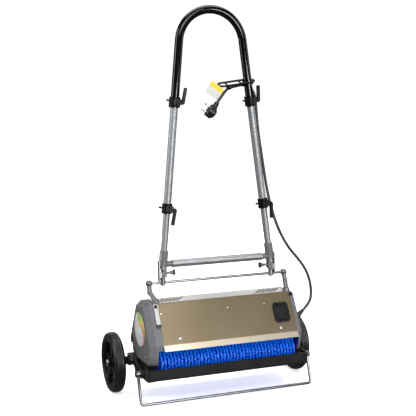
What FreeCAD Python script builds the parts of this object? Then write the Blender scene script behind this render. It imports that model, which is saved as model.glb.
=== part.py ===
"""Carpet sweeper: a counter-rotating twin-brush carpet machine with a folding, telescoping handle.

Units are millimetres and degrees. The machine is drawn in its body frame: X to the right, Y to
the rear, Z up, floor at Z = 0 and Y = 0 midway between the two brushes. export() moves it back so
that the origin lies under the middle of the whole machine.
"""

import FreeCAD, Part
import math
import os

V = FreeCAD.Vector
X_AXIS, Y_AXIS, Z_AXIS = V(1, 0, 0), V(0, 1, 0), V(0, 0, 1)

# ---- fits and gaps -------------------------------------------------------------------------
RUNNING = 0.06          # radial clearance of a pin or shaft that turns
SLIDING = 0.30          # radial clearance of a tube that slides in a tube
SEAT = 0.05             # radial clearance of a piece that is pressed or screwed home
GAP = 0.40              # gap between neighbouring covers

# ---- casing --------------------------------------------------------------------------------
PANEL_HALF = 208.0      # half the width of the steel panels
COVER_DEPTH = 39.0      # depth of the left end cover, outboard of the panels
COVER_BEVEL = 17.0      # how much of that depth is bevelled
BEVEL_INSET = 12.0      # how far the bevel runs in
RIGHT_DEPTH = 15.0      # the right cover is shallower, because the belt runs in the left one
RIGHT_BEVEL, RIGHT_INSET = 7.0, 6.0
GUARD_BEVEL = 3.0       # the lower guards are nearly square-edged
COVER_X = PANEL_HALF + COVER_DEPTH      # outer face of the left cover
RIGHT_X = PANEL_HALF + RIGHT_DEPTH      # outer face of the right cover
COVER_WALL = 2.5
SHEET = 1.5             # panel sheet
TOP_Z = 287.0
FRONT_TOP_Y, REAR_TOP_Y = -46.0, 36.0
FRONT_LIP_Y, FRONT_LIP_Z = -106.0, 178.0
REAR_LIP_Y, REAR_LIP_Z = 106.0, 173.0
GUARD_TOP_Z = 120.0     # the black lower guards end here
GUARD_BOTTOM_Z = 64.0
SKIRT_DROP = 15.0
CORNER_R = 6.0

# ---- brushes and drive ---------------------------------------------------------------------
BRUSH_R = 43.0
BRUSH_CORE_R = 21.0
BRUSH_LEFT = PANEL_HALF + 12     # the brushes run a little way under the covers
BRUSH_RIGHT = PANEL_HALF + 2
BRUSH_Y, BRUSH_Z = 52.0, 116.0
BRUSH_SHAFT_R = 8.0
PLATE_X, PLATE_T = PANEL_HALF + 16, 3.0     # left side plate, inside its cover
RIGHT_PLATE_X = PANEL_HALF + 6
BEARING_R, BEARING_HALF = 16.0, 3.5
ROOF_Z = BRUSH_Z + BRUSH_R + 3       # sheet over the brushes
MOTOR_Y, MOTOR_Z, MOTOR_R = 0.0, 226.0, 44.0
MOTOR_X0, MOTOR_X1 = -130.0, 60.0
MOTOR_SHAFT_R = 6.0
PULLEY_W, BELT_W, BELT_T = 10.0, 9.0, 2.0
PULLEY_BEVEL = 1.5
PULLEY_X = PLATE_X + 11
MOTOR_PULLEY_R, BRUSH_PULLEY_R, IDLER_R = 12.0, 20.0, 6.0
IDLER_Y, IDLER_Z, IDLER_PIN_R = 55.0, 80.0, 3.0

# ---- wheels and stand ----------------------------------------------------------------------
TRAY_LEFT_X, TRAY_RIGHT_X = COVER_X + 9, RIGHT_X + 13
TRAY_OUT_Y, TRAY_IN_Y = BRUSH_Y + BRUSH_R + 20, BRUSH_Y + BRUSH_R - 4
TRAY_REAR_Y = 70.0
TRAY_TOP_Z, TRAY_BOTTOM_Z, TRAY_WALL = 113.0, 79.0, 2.0
TRAY_END_T, TRAY_ROUND = 4.0, 8.0
ARM_Y, ARM_Z = 38.0, 111.0
ARM_X, ARM_T, ARM_END_R = TRAY_LEFT_X + 8, 5.0, 16.0
ARM_BOLT_R = 6.0
BAR_T = 6.0             # the bar that joins the arm's bolt and the stand's pin
WHEEL_R, WHEEL_W, WHEEL_Y = 90.0, 34.0, 112.0
WHEEL_X = ARM_X + ARM_T + 12 + WHEEL_W / 2
TYRE_INNER_R = 68.0
AXLE_R = 8.0
STAND_R, STAND_BEND = 4.0, 9.0
STAND_X, STAND_Y = TRAY_LEFT_X + 11.5, -67.0        # the legs swing past the trays' ends
STAND_PIVOT_Y, STAND_PIVOT_Z, STAND_PIN_R = -42.0, 88.0, 5.0

# ---- handle --------------------------------------------------------------------------------
BRACKET_X, BRACKET_FOOT_Y = PANEL_HALF + 6, -32.0
ROD_Y, ROD_Z, ROD_R, ROD_HALF = 2.0, 338.0, 4.0, BRACKET_X + 8
LEAN = 1.2              # handle leans back by this much
TAPER = 6.26            # each leg leans in by this much
LEG_X, LEG_H = 171.8, 30.0      # the tapered legs start here, up from the rod
CROSS_H, CROSS_R, CROSS_HALF = 53.0, 11.0, 142.0
NECK_R, NECK_IN = 8.7, 114.0
KNOB_H, KNOB_X, KNOB_R = 27.0, 135.0, 9.5
TUBE_WALL = 1.2
LOWER_TUBE_R = 9.5
MID_TUBE_R = LOWER_TUBE_R + SLIDING + TUBE_WALL
LOOP_TUBE_R = MID_TUBE_R + SLIDING + TUBE_WALL
LOWER_COLLAR_H, UPPER_COLLAR_H = 214.0, 519.0
COLLAR_TALL, COLLAR_WALL = 29.0, 4.0
TUBE_INSERT_LOWER, TUBE_INSERT_MID = 130.0, 60.0
LOOP_TOP_H = 785.0
LEVER_LONG, LEVER_T, LEVER_W = 45.0, 8.0, 10.0
BOLT_N = -LOOP_TUBE_R - 3     # the clamp bolts pass this far in front of the tubes

# ---- outlet, switch, cord ------------------------------------------------------------------
OUTLET_X, OUTLET_Z = PANEL_HALF - 41, 232.0
OUTLET_W, OUTLET_TALL, OUTLET_T = 48.0, 61.0, 6.0
OUTLET_R, OUTLET_DEEP = 19.5, 17.5
LABEL_Y, LABEL_Z, LABEL_R = -3.0, 208.0, 49.0
ROCKER_Y, ROCKER_Z, ROCKER_W, ROCKER_TALL = 80.0, 165.0, 10.0, 22.0
CORD_R = 4.25
GLAND_AT = V(RIGHT_X, -68.0, 212.5)
GLAND_TURN, GLAND_LONG = 41.5, 26.0
HOOK_X, HOOK_Y, HOOK_Z = 75.0, 14.0, 911.0
HOOK_RISE = 7.0         # the ring rises to the right by this much
PLUG_AT = V(-13.0, 3.0, 829.0)
PLUG_TURN = 36.4        # the pins rise by this much, pointing left

SLOPE = math.degrees(math.atan2(TOP_Z - FRONT_LIP_Z, FRONT_TOP_Y - FRONT_LIP_Y))
LEG_TAN = math.tan(math.radians(TAPER))
LEG_COS = math.cos(math.radians(TAPER))
Y_SHIFT = -(WHEEL_Y + WHEEL_R - TRAY_OUT_Y) / 2

PROFILE = [
    (FRONT_TOP_Y, TOP_Z), (REAR_TOP_Y, TOP_Z), (REAR_LIP_Y, REAR_LIP_Z), (84.0, 125.0),
    (62.0, GUARD_BOTTOM_Z), (-62.0, GUARD_BOTTOM_Z), (-78.0, 98.0), (-100.0, 143.0),
    (FRONT_LIP_Y, FRONT_LIP_Z),
]

CORD_LOWER_TURNS = [
    V(266, -68, 247), V(278, -58, 280), V(278, -47, 318), V(268, -36, 352), V(250, -25, 381),
    V(231, -13, 407), V(215, -2, 437), V(203, 9, 470),
]
CORD_SPLIT = V(197.5, 12.5, 488)
CORD_UPPER_TURNS = [
    V(192, 16, 506), V(183, 23, 546), V(175, 28, 592), V(168, 30, 642), V(161, 31, 694),
    V(154, 33, 746), V(149, 34, 796), V(147, 35, 840), V(144, 36, 878), V(128, 38, 902),
    V(100, 37, 906), V(72, 22, 900), V(46, 8, 896),
]


# ---- helpers -------------------------------------------------------------------------------
def cylinder(radius, start, end):
    """A round bar from start to end."""
    return Part.makeCylinder(radius, (end - start).Length, start, end - start)


def ring(outer, inner, start, end):
    """A tube from start to end."""
    over = (end - start).normalize()
    return cylinder(outer, start, end).cut(cylinder(inner, start - over, end + over))


def cone(r0, r1, start, end):
    return Part.makeCone(r0, r1, (end - start).Length, start, end - start)


def block(x0, x1, y0, y1, z0, z1):
    return Part.makeBox(x1 - x0, y1 - y0, z1 - z0, V(x0, y0, z0))


def along_x(radius, x0, x1, y, z):
    return cylinder(radius, V(x0, y, z), V(x1, y, z))


def ring_x(outer, inner, x0, x1, y, z):
    return ring(outer, inner, V(x0, y, z), V(x1, y, z))


def fuse(*shapes):
    return shapes[0].multiFuse(list(shapes[1:])).removeSplitter()


def group(*shapes):
    """Separate solids that share one node."""
    solids = [solid for shape in shapes for solid in shape.Solids]
    return Part.makeCompound(solids)


def mirrored(shape):
    """The same piece on the other side of the machine."""
    return shape.mirror(V(0, 0, 0), X_AXIS)


def both_sides(shape):
    return group(shape, mirrored(shape))


def placed(shape, at, axis=X_AXIS, angle=0.0):
    """A piece drawn about the origin, turned about an axis, then moved to a point."""
    moved = shape.copy()
    moved.Placement = FreeCAD.Placement(at, FreeCAD.Rotation(axis, angle)) * moved.Placement
    return moved


def rounded_wire(corners, radius, x):
    """A closed outline at one X, its corners (y, z) rounded."""
    points = [V(x, y, z) for y, z in corners]
    edges, ends = [], []
    for i, corner in enumerate(points):
        before = (points[i - 1] - corner)
        after = (points[(i + 1) % len(points)] - corner)
        half = before.getAngle(after) / 2
        reach = radius / math.tan(half)
        before.normalize()
        after.normalize()
        middle = (before + after).normalize() * (radius / math.sin(half) - radius)
        ends.append((corner + before * reach, corner + middle, corner + after * reach))
    for i, (first, through, last) in enumerate(ends):
        edges.append(Part.Arc(first, through, last).toShape())
        edges.append(Part.LineSegment(last, ends[(i + 1) % len(ends)][0]).toShape())
    return Part.Wire(edges)


def inset(corners, distance):
    """The same outline with each side moved in by a distance."""
    out = []
    for i, (y, z) in enumerate(corners):
        y0, z0 = corners[i - 1]
        y1, z1 = corners[(i + 1) % len(corners)]
        a = math.atan2(z - z0, y - y0)
        b = math.atan2(z1 - z, y1 - y)
        half = (b - a) / 2
        reach = distance / math.cos(half)
        across = a + half - math.pi / 2
        out.append((y + reach * math.cos(across), z + reach * math.sin(across)))
    return out


def outline_prism(corners, radius, x0, x1):
    face = Part.Face(rounded_wire(corners, radius, x0))
    return face.extrude(V(x1 - x0, 0, 0))


def arc_path(points, radii):
    """Straight runs joined by tangent arcs: a wire, and its length."""
    edges, start = [], points[0]
    for corner, following, radius in zip(points[1:-1], points[2:], radii):
        back = (start - corner).normalize()
        on = (following - corner).normalize()
        half = back.getAngle(on) / 2
        reach = radius / math.tan(half)
        middle = corner + (back + on).normalize() * (radius / math.sin(half) - radius)
        first, last = corner + back * reach, corner + on * reach
        if (first - start).Length > 1e-6:
            edges.append(Part.LineSegment(start, first).toShape())
        edges.append(Part.Arc(first, middle, last).toShape())
        start = last
    edges.append(Part.LineSegment(start, points[-1]).toShape())
    return Part.Wire(edges), sum(edge.Length for edge in edges)


def swept(points, radii, radius):
    """A round bar along a path of straight runs and arcs."""
    path, length = arc_path(points, radii)
    section = Part.Wire(Part.makeCircle(radius, points[0], points[1] - points[0]))
    return path.makePipeShell([section], True, False), length


def cord_radii(points):
    """The largest arc that each pair of neighbouring runs allows."""
    radii = []
    for before, corner, after in zip(points, points[1:], points[2:]):
        run = min((corner - before).Length, (after - corner).Length)
        turn = (corner - before).getAngle(after - corner)
        radii.append(0.45 * run / math.tan(turn / 2))
    return radii


def on_panel(shape, x=0.0, z=0.0):
    """A piece drawn with Z out of the panel and Y up its slope, set on the front panel."""
    y = FRONT_TOP_Y - (TOP_Z - z) / math.tan(math.radians(SLOPE))
    return placed(shape, V(x, y, z), X_AXIS, SLOPE)


def on_handle(shape):
    """A piece drawn with the rod as its X axis and the handle's height as Z."""
    return placed(shape, V(0, ROD_Y, ROD_Z), X_AXIS, -LEAN)


def leg_point(height, inward=0.0):
    """A point on the right leg's centre line, in the handle's own frame."""
    return V(LEG_X - LEG_TAN * (height - LEG_H) - inward, 0, height)


NODES = {}


# ---- casing --------------------------------------------------------------------------------
def panel_shell():
    outer = outline_prism(PROFILE, CORNER_R, -PANEL_HALF + GAP, PANEL_HALF - GAP)
    core = outline_prism(inset(PROFILE, SHEET), CORNER_R - SHEET, -PANEL_HALF, PANEL_HALF)
    return outer.cut(core)


def panels():
    shell = panel_shell()
    wide, high = PANEL_HALF + 1, TOP_Z + 1
    front = shell.common(block(-wide, wide, -200, FRONT_TOP_Y + CORNER_R, FRONT_LIP_Z, high))
    rear = shell.common(block(-wide, wide, REAR_TOP_Y - CORNER_R, 200, REAR_LIP_Z, high))
    roof = block(-wide, wide, FRONT_TOP_Y + CORNER_R + GAP, REAR_TOP_Y - CORNER_R - GAP, 250, high)
    top = shell.common(roof)
    hole = Part.makeCylinder(OUTLET_R + 3.5, 20, V(0, 0, -10))
    front = front.cut(on_panel(hole, OUTLET_X, OUTLET_Z))
    NODES["front_panel"] = front
    NODES["rear_panel"] = rear
    NODES["top_plate"] = top.cut(vent_slots())


def vent_slots():
    """Six slots near each end of the top plate, all slanted the same way."""
    slots = []
    pitch, long, wide, slant = 11.7, 58.0, 5.0, -38.0
    last = PANEL_HALF - 24.5
    first = last - 5 * pitch
    for i in range(6):
        slot = block(-wide / 2, wide / 2, -long / 2, long / 2, -10, 10)
        for start in (first, -last):
            slots.append(placed(slot, V(start + pitch * i, -5, TOP_Z), Z_AXIS, slant))
    return group(*slots)


def skirt(lip_y, lip_z, out):
    """A folded strip that hangs from a panel's lower edge, over the brush."""
    outer = [(lip_y, lip_z - GAP), (lip_y + out * 9, lip_z - SKIRT_DROP)]
    inner = [(y - out * SHEET, z) for y, z in reversed(outer)]
    wire = Part.makePolygon([V(-PANEL_HALF + GAP, y, z) for y, z in outer + inner + outer[:1]])
    return Part.Face(wire).extrude(V(2 * (PANEL_HALF - GAP), 0, 0))


def end_cup(face, bevel, run, brush_end):
    """A right-hand cup, open towards the panels, with its outer edge bevelled."""
    steps = [(PANEL_HALF, 0), (face - bevel, 0), (face, run)]
    outer_wires, inner_wires = [], []
    for x, run_in in steps:
        outer_wires.append(rounded_wire(inset(PROFILE, run_in + 0.01), CORNER_R, x))
        depth = x - COVER_WALL if x == face else x
        inner_wires.append(rounded_wire(inset(PROFILE, run_in + COVER_WALL), 3.5, depth))
    outer = Part.makeLoft(outer_wires, True, True)
    inner = Part.makeLoft(inner_wires, True, True)
    lead_in = outline_prism(inset(PROFILE, COVER_WALL), 3.5, PANEL_HALF - 1, PANEL_HALF + 0.1)
    cup = outer.cut(fuse(inner, lead_in))
    brush_room = block(PANEL_HALF - 1, brush_end + 2.5, -200, 200, 0, FRONT_LIP_Z - SKIRT_DROP)
    return cup.cut(brush_room)


def end_cover(face, bevel, run, brush_end):
    """The painted cover of a right-hand end, and the black guard below it."""
    upper = end_cup(face, bevel, run, brush_end)
    upper = upper.common(block(0, 400, -200, 200, GUARD_TOP_Z, 400))
    lower = end_cup(face, GUARD_BEVEL, GUARD_BEVEL, brush_end)
    lower = lower.common(block(0, 400, -200, 200, 0, GUARD_TOP_Z - GAP))
    pins = ((ARM_BOLT_R, ARM_Y, ARM_Z), (STAND_PIN_R, STAND_PIVOT_Y, STAND_PIVOT_Z))
    for radius, y, z in pins:
        lower = lower.cut(along_x(radius + SEAT, face - 10, face + 10, y, z))
    return upper, lower


def covers():
    right, right_guard = end_cover(RIGHT_X, RIGHT_BEVEL, RIGHT_INSET, BRUSH_RIGHT)
    left, left_guard = end_cover(COVER_X, COVER_BEVEL, BEVEL_INSET, BRUSH_LEFT)
    gland_hole = along_x(5, RIGHT_X - 10, RIGHT_X + 10, GLAND_AT.y, GLAND_AT.z)
    wide, tall = ROCKER_W / 2 + 0.8, ROCKER_TALL / 2 + 0.8
    rocker_hole = block(
        -COVER_X - 10, -COVER_X + 10, ROCKER_Y - wide, ROCKER_Y + wide,
        ROCKER_Z - tall, ROCKER_Z + tall
    )
    NODES["right_end_cover"] = right.cut(gland_hole)
    NODES["left_end_cover"] = mirrored(left).cut(rocker_hole)
    NODES["lower_guards"] = group(right_guard, mirrored(left_guard))


# ---- frame inside the casing ---------------------------------------------------------------
def side_plate(x):
    """A right-hand side plate with its two brush bearings."""
    outline = inset(PROFILE, COVER_WALL + 2)
    plate = outline_prism(outline, 3.0, x, x + PLATE_T)
    plate = plate.cut(along_x(MOTOR_SHAFT_R + 4, x - 9, x + 9, MOTOR_Y, MOTOR_Z))
    x0, x1 = x + PLATE_T / 2 - BEARING_HALF, x + PLATE_T / 2 + BEARING_HALF
    bearings = []
    for y in (-BRUSH_Y, BRUSH_Y):
        plate = plate.cut(along_x(BEARING_R + SEAT, x - 9, x + 9, y, BRUSH_Z))
        bearings.append(ring_x(BEARING_R, BRUSH_SHAFT_R + RUNNING, x0, x1, y, BRUSH_Z))
    return group(plate, *bearings)


def inner_frame():
    """Four rails, the roof over the brushes with the motor's saddle, capacitor, terminal block."""
    left, right, side = 0.2 - PLATE_X, RIGHT_PLATE_X - 0.2, 8.0
    rails = [
        block(left, right, y, y + side, z, z + side)
        for y, z in ((-40, 275), (22, 275), (-96, 180), (86, 175))
    ]
    roof = block(left, right, -97, 95, ROOF_Z, ROOF_Z + 2)
    saddle = block(MOTOR_X0 + 20, MOTOR_X1 - 20, -30, 30, ROOF_Z + 2, 200)
    saddle = saddle.cut(along_x(MOTOR_R + 0.2, -300, 300, MOTOR_Y, MOTOR_Z))
    capacitor = along_x(16, 70, 130, 10, ROOF_Z + 19)
    terminals = block(160, 200, -5, 25, ROOF_Z + 2.2, ROOF_Z + 22)
    return group(*rails, fuse(roof, saddle), capacitor, terminals)


def motor_housing():
    """The motor's can with its two bearing ends."""
    wall = 3.0
    can = along_x(MOTOR_R, MOTOR_X0, MOTOR_X1, MOTOR_Y, MOTOR_Z)
    hollow = along_x(MOTOR_R - wall, MOTOR_X0 + wall, MOTOR_X1 - wall, MOTOR_Y, MOTOR_Z)
    bore = along_x(MOTOR_SHAFT_R + RUNNING, MOTOR_X0 - 20, MOTOR_X1 + 20, MOTOR_Y, MOTOR_Z)
    boss = along_x(14, MOTOR_X0 - 8, MOTOR_X0 + 1, MOTOR_Y, MOTOR_Z)
    return fuse(can, boss).cut(hollow).cut(bore)


def motor_rotor():
    """Shaft, wound core and belt pulley in one piece, and the fan."""
    shaft = along_x(MOTOR_SHAFT_R, -PULLEY_X - PULLEY_W / 2 - 1, MOTOR_X1 + 4, MOTOR_Y, MOTOR_Z)
    core = along_x(30, MOTOR_X0 + 35, MOTOR_X1 - 45, MOTOR_Y, MOTOR_Z)
    x0, x1 = -PULLEY_X - PULLEY_W / 2, -PULLEY_X + PULLEY_W / 2
    pulley = along_x(MOTOR_PULLEY_R, x0, x1, MOTOR_Y, MOTOR_Z)
    return group(fuse(shaft, core, pulley), motor_fan())


def motor_fan():
    """The cooling fan pressed on the shaft."""
    hub = ring_x(12, MOTOR_SHAFT_R + SEAT, MOTOR_X1 - 38, MOTOR_X1 - 20, MOTOR_Y, MOTOR_Z)
    blades = [hub]
    for i in range(9):
        blade = block(MOTOR_X1 - 38, MOTOR_X1 - 20, -1, 1, 11, 36)
        blades.append(placed(blade, V(0, MOTOR_Y, MOTOR_Z), X_AXIS, 40 * i))
    return fuse(*blades)


def brush(y):
    """Core with end shafts and drive pulley, and the bristles round it."""
    core = along_x(BRUSH_CORE_R, -BRUSH_LEFT, BRUSH_RIGHT, y, BRUSH_Z)
    shaft_end = RIGHT_PLATE_X + PLATE_T + 2
    shaft = along_x(BRUSH_SHAFT_R, -PULLEY_X - PULLEY_W / 2 - 0.5, shaft_end, y, BRUSH_Z)
    x0, x1 = -PULLEY_X - PULLEY_W / 2, -PULLEY_X + PULLEY_W / 2
    rim_r = BRUSH_PULLEY_R - PULLEY_BEVEL
    rim = Part.makeCone(rim_r, BRUSH_PULLEY_R, PULLEY_BEVEL, V(x0, y, BRUSH_Z), X_AXIS)
    pulley = along_x(BRUSH_PULLEY_R, x0 + PULLEY_BEVEL, x1, y, BRUSH_Z)
    core = fuse(core, shaft, rim, pulley)
    bristles = ring_x(BRUSH_R, BRUSH_CORE_R + SEAT, -BRUSH_LEFT, BRUSH_RIGHT, y, BRUSH_Z)
    return core, bristles


def tangent(first, second):
    """Where a belt leaves one pulley and meets the next: (y, z, radius, way round)."""
    y0, z0, r0, w0 = first
    y1, z1, r1, w1 = second
    between = math.atan2(z1 - z0, y1 - y0)
    tilt = math.asin((w0 * r0 - w1 * r1) / math.hypot(y1 - y0, z1 - z0))
    side = between + tilt - math.pi / 2
    leave = (y0 + w0 * r0 * math.cos(side), z0 + w0 * r0 * math.sin(side))
    meet = (y1 + w1 * r1 * math.cos(side), z1 + w1 * r1 * math.sin(side))
    return leave, meet


def belt_outline(pulleys, x):
    """A belt's line round its pulleys. Way 1 turns anticlockwise seen from the right."""
    spans = [tangent(p, pulleys[(i + 1) % len(pulleys)]) for i, p in enumerate(pulleys)]
    edges = []
    for i, (y, z, radius, way) in enumerate(pulleys):
        meet, leave = spans[i - 1][1], spans[i][0]
        a = math.atan2(meet[1] - z, meet[0] - y)
        b = math.atan2(leave[1] - z, leave[0] - y)
        sweep = (b - a) * way % (2 * math.pi) * way
        half = a + sweep / 2
        through = V(x, y + radius * math.cos(half), z + radius * math.sin(half))
        edges.append(Part.Arc(V(x, *meet), through, V(x, *leave)).toShape())
        edges.append(Part.LineSegment(V(x, *leave), V(x, *spans[i][1])).toShape())
    return Part.Wire(edges)


def drive_belt():
    """One double-sided belt, so the rear brush turns against the front brush."""
    lift = 0.3
    loops = []
    for grow in (lift, lift + BELT_T):
        back = lift + BELT_T - (grow - lift)
        pulleys = [
            (MOTOR_Y, MOTOR_Z, MOTOR_PULLEY_R + grow, 1),
            (-BRUSH_Y, BRUSH_Z, BRUSH_PULLEY_R + grow, 1),
            (IDLER_Y, IDLER_Z, IDLER_R + grow, 1),
            (BRUSH_Y, BRUSH_Z, BRUSH_PULLEY_R + back, -1),
        ]
        loops.append(Part.Face(belt_outline(pulleys, -PULLEY_X - BELT_W / 2)))
    return loops[1].extrude(V(BELT_W, 0, 0)).cut(loops[0].extrude(V(BELT_W, 0, 0)))


def idler_pulley():
    half = PULLEY_W / 2
    inner = IDLER_PIN_R + RUNNING
    return ring_x(IDLER_R, inner, -PULLEY_X - half, -PULLEY_X + half, IDLER_Y, IDLER_Z)


def pivot_pins(face):
    """A side bar with the wheel arm's bolt and the stand's pin, for a cover with this face."""
    inner, spacer, cap = face - COVER_WALL - 1, face + 0.1, ARM_X + ARM_T + 0.3
    bar_x, half = ARM_X - 2.5, 10.0
    front = V(0, STAND_PIVOT_Y - 6, STAND_PIVOT_Z - 2)
    rear = V(0, ARM_Y + 16, ARM_Z + 5)
    way = rear - front
    angle = math.degrees(math.atan2(way.z, way.y))
    web = block(bar_x - BAR_T, bar_x, 0, way.Length, -half, half)
    ends = [along_x(half, bar_x - BAR_T, bar_x, end.y, end.z) for end in (front, rear)]
    bar = fuse(placed(web, front, X_AXIS, angle), *ends)
    bolt = fuse(
        along_x(ARM_BOLT_R, inner, cap + 3, ARM_Y, ARM_Z),
        along_x(12, spacer, ARM_X - 0.3, ARM_Y, ARM_Z),
        along_x(9, cap, cap + 3, ARM_Y, ARM_Z),
    )
    pin = fuse(
        along_x(STAND_PIN_R, inner, STAND_X + 7, STAND_PIVOT_Y, STAND_PIVOT_Z),
        along_x(9, spacer, STAND_X - 5.2, STAND_PIVOT_Y, STAND_PIVOT_Z),
        along_x(8, STAND_X + 5.2, STAND_X + 7.5, STAND_PIVOT_Y, STAND_PIVOT_Z),
    )
    return fuse(bar, bolt, pin)


def frame_and_drive():
    NODES["side_plates"] = group(side_plate(RIGHT_PLATE_X), mirrored(side_plate(PLATE_X)))
    NODES["inner_frame"] = inner_frame()
    NODES["motor_housing"] = motor_housing()
    NODES["motor_rotor"] = motor_rotor()
    for name, y in (("front", -BRUSH_Y), ("rear", BRUSH_Y)):
        NODES[name + "_brush_core"], NODES[name + "_bristles"] = brush(y)
    NODES["drive_belt"] = drive_belt()
    NODES["idler_pulley"] = idler_pulley()
    idler_pin = along_x(IDLER_PIN_R, -PULLEY_X - 7, -PLATE_X - PLATE_T - 0.2, IDLER_Y, IDLER_Z)
    NODES["pivot_pins"] = group(pivot_pins(RIGHT_X), mirrored(pivot_pins(COVER_X)), idler_pin)


# ---- wheels, stand, trays ------------------------------------------------------------------
def wheel_arm():
    """The right wheel's arm with its stub axle."""
    x1 = ARM_X + ARM_T
    run = math.hypot(WHEEL_Y - ARM_Y, WHEEL_R - ARM_Z)
    angle = math.degrees(math.atan2(WHEEL_R - ARM_Z, WHEEL_Y - ARM_Y))
    web = placed(block(ARM_X, x1, 0, run, -ARM_END_R * 0.75, ARM_END_R * 0.75),
                 V(0, ARM_Y, ARM_Z), X_AXIS, angle)
    arm = fuse(
        web,
        along_x(ARM_END_R, ARM_X, x1, ARM_Y, ARM_Z),
        along_x(ARM_END_R, ARM_X, x1, WHEEL_Y, WHEEL_R),
        along_x(AXLE_R + 4, ARM_X, WHEEL_X - WHEEL_W / 2 - 0.3, WHEEL_Y, WHEEL_R),
        along_x(AXLE_R, ARM_X, WHEEL_X + WHEEL_W / 2 - 1, WHEEL_Y, WHEEL_R),
    )
    return arm.cut(along_x(ARM_BOLT_R + RUNNING, ARM_X - 9, x1 + 9, ARM_Y, ARM_Z))


def tyre():
    x0, x1 = WHEEL_X - WHEEL_W / 2, WHEEL_X + WHEEL_W / 2
    solid = along_x(WHEEL_R, x0, x1, WHEEL_Y, WHEEL_R)
    solid = solid.makeFillet(9, [e for e in solid.Edges if e.Curve.TypeId == "Part::GeomCircle"])
    return solid.cut(along_x(TYRE_INNER_R, x0 - 1, x1 + 1, WHEEL_Y, WHEEL_R))


def rim():
    """Rim ring, five spokes and a long hub."""
    half, hub_r, rim_t = WHEEL_W / 2 - 4, 14.0, 6.0
    ring_r = TYRE_INNER_R - SEAT
    pieces = [
        ring_x(ring_r, ring_r - rim_t, WHEEL_X - half, WHEEL_X + half, WHEEL_Y, WHEEL_R),
        along_x(hub_r, WHEEL_X - WHEEL_W / 2, WHEEL_X + WHEEL_W / 2, WHEEL_Y, WHEEL_R),
    ]
    for i in range(5):
        spoke = block(WHEEL_X - 6, WHEEL_X + 6, -5.5, 5.5, hub_r - 2, ring_r - rim_t + 1)
        pieces.append(placed(spoke, V(0, WHEEL_Y, WHEEL_R), X_AXIS, 72 * i))
    bore = along_x(AXLE_R + RUNNING, WHEEL_X - 40, WHEEL_X + 40, WHEEL_Y, WHEEL_R)
    return fuse(*pieces).cut(bore)


def hub_cap():
    x0 = WHEEL_X + WHEEL_W / 2
    plug = along_x(AXLE_R + 2, x0, x0 + 4, WHEEL_Y, WHEEL_R)
    edge = [e for e in plug.Edges if abs(e.CenterOfMass.x - x0 - 4) < 0.01]
    return plug.makeFillet(2, edge)


def wheels():
    sides = (("right", lambda s: s), ("left", mirrored))
    for side, put in sides:
        NODES[side + "_wheel_arm"] = put(wheel_arm())
        NODES[side + "_tyre"] = put(tyre())
        NODES[side + "_rim"] = put(rim())
        NODES[side + "_hub_cap"] = put(hub_cap())


def kickstand():
    """A U of round wire with an eye and a gusset at the top of each leg."""
    bar_z, bend = STAND_R, STAND_BEND
    top = V(STAND_X, STAND_PIVOT_Y, STAND_PIVOT_Z)
    foot = V(STAND_X, STAND_Y, bar_z)
    down = (foot - top).normalize()
    start = top + down * (STAND_PIN_R + 2)
    points = [start, foot, V(-foot.x, foot.y, foot.z), V(-start.x, start.y, start.z)]
    wire, _ = swept(points, [bend, bend], STAND_R)
    half = 4.8
    eye = along_x(STAND_PIN_R + 5, STAND_X - half, STAND_X + half, STAND_PIVOT_Y, STAND_PIVOT_Z)
    gusset = cone(half, STAND_R + 0.2, start, start + down * 34)
    x0, x1 = STAND_X - 2 * half, STAND_X + 2 * half
    hole = along_x(STAND_PIN_R + RUNNING, x0, x1, STAND_PIVOT_Y, STAND_PIVOT_Z)
    ends = both_sides(fuse(eye, gusset))
    return fuse(wire, *ends.Solids).cut(both_sides(hole))


def tray(side):
    """A debris trough in front of (side -1) or behind (side 1) the brushes, with round corners."""
    out, lip = side * TRAY_OUT_Y, side * (TRAY_OUT_Y - 3)
    mid, rear, wall = side * TRAY_IN_Y, side * TRAY_REAR_Y, side * TRAY_WALL
    high, floor_z = TRAY_TOP_Z + 2 * TRAY_ROUND, TRAY_BOTTOM_Z + TRAY_WALL
    x0, x1 = -TRAY_LEFT_X, TRAY_RIGHT_X
    outer = [(out, high), (lip, TRAY_BOTTOM_Z), (mid, TRAY_BOTTOM_Z), (mid, high)]
    inner = [
        (out - wall, high + 30), (lip - wall, floor_z), (mid - side * 30, floor_z),
        (mid - side * 30, high + 30),
    ]
    end = [
        (out, high), (lip, TRAY_BOTTOM_Z), (mid, TRAY_BOTTOM_Z), (rear, TRAY_BOTTOM_Z + 8),
        (rear, high),
    ]
    trough = outline_prism(outer, TRAY_ROUND, x0, x1)
    trough = trough.cut(outline_prism(inner, TRAY_ROUND - TRAY_WALL, x0 - 1, x1 + 1))
    ends = [
        outline_prism(end, TRAY_ROUND, x, x + TRAY_END_T) for x in (x0, x1 - TRAY_END_T)
    ]
    plan = block(x0, x1, *sorted((out, side * (TRAY_REAR_Y - 30))), 0, TRAY_TOP_Z)
    front = [e for e in plan.Edges if e.BoundBox.ZLength > 9 and abs(e.CenterOfMass.y - out) < 1]
    plan = plan.makeFillet(TRAY_ROUND - 1, front)
    return fuse(trough, *ends).common(plan)


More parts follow.
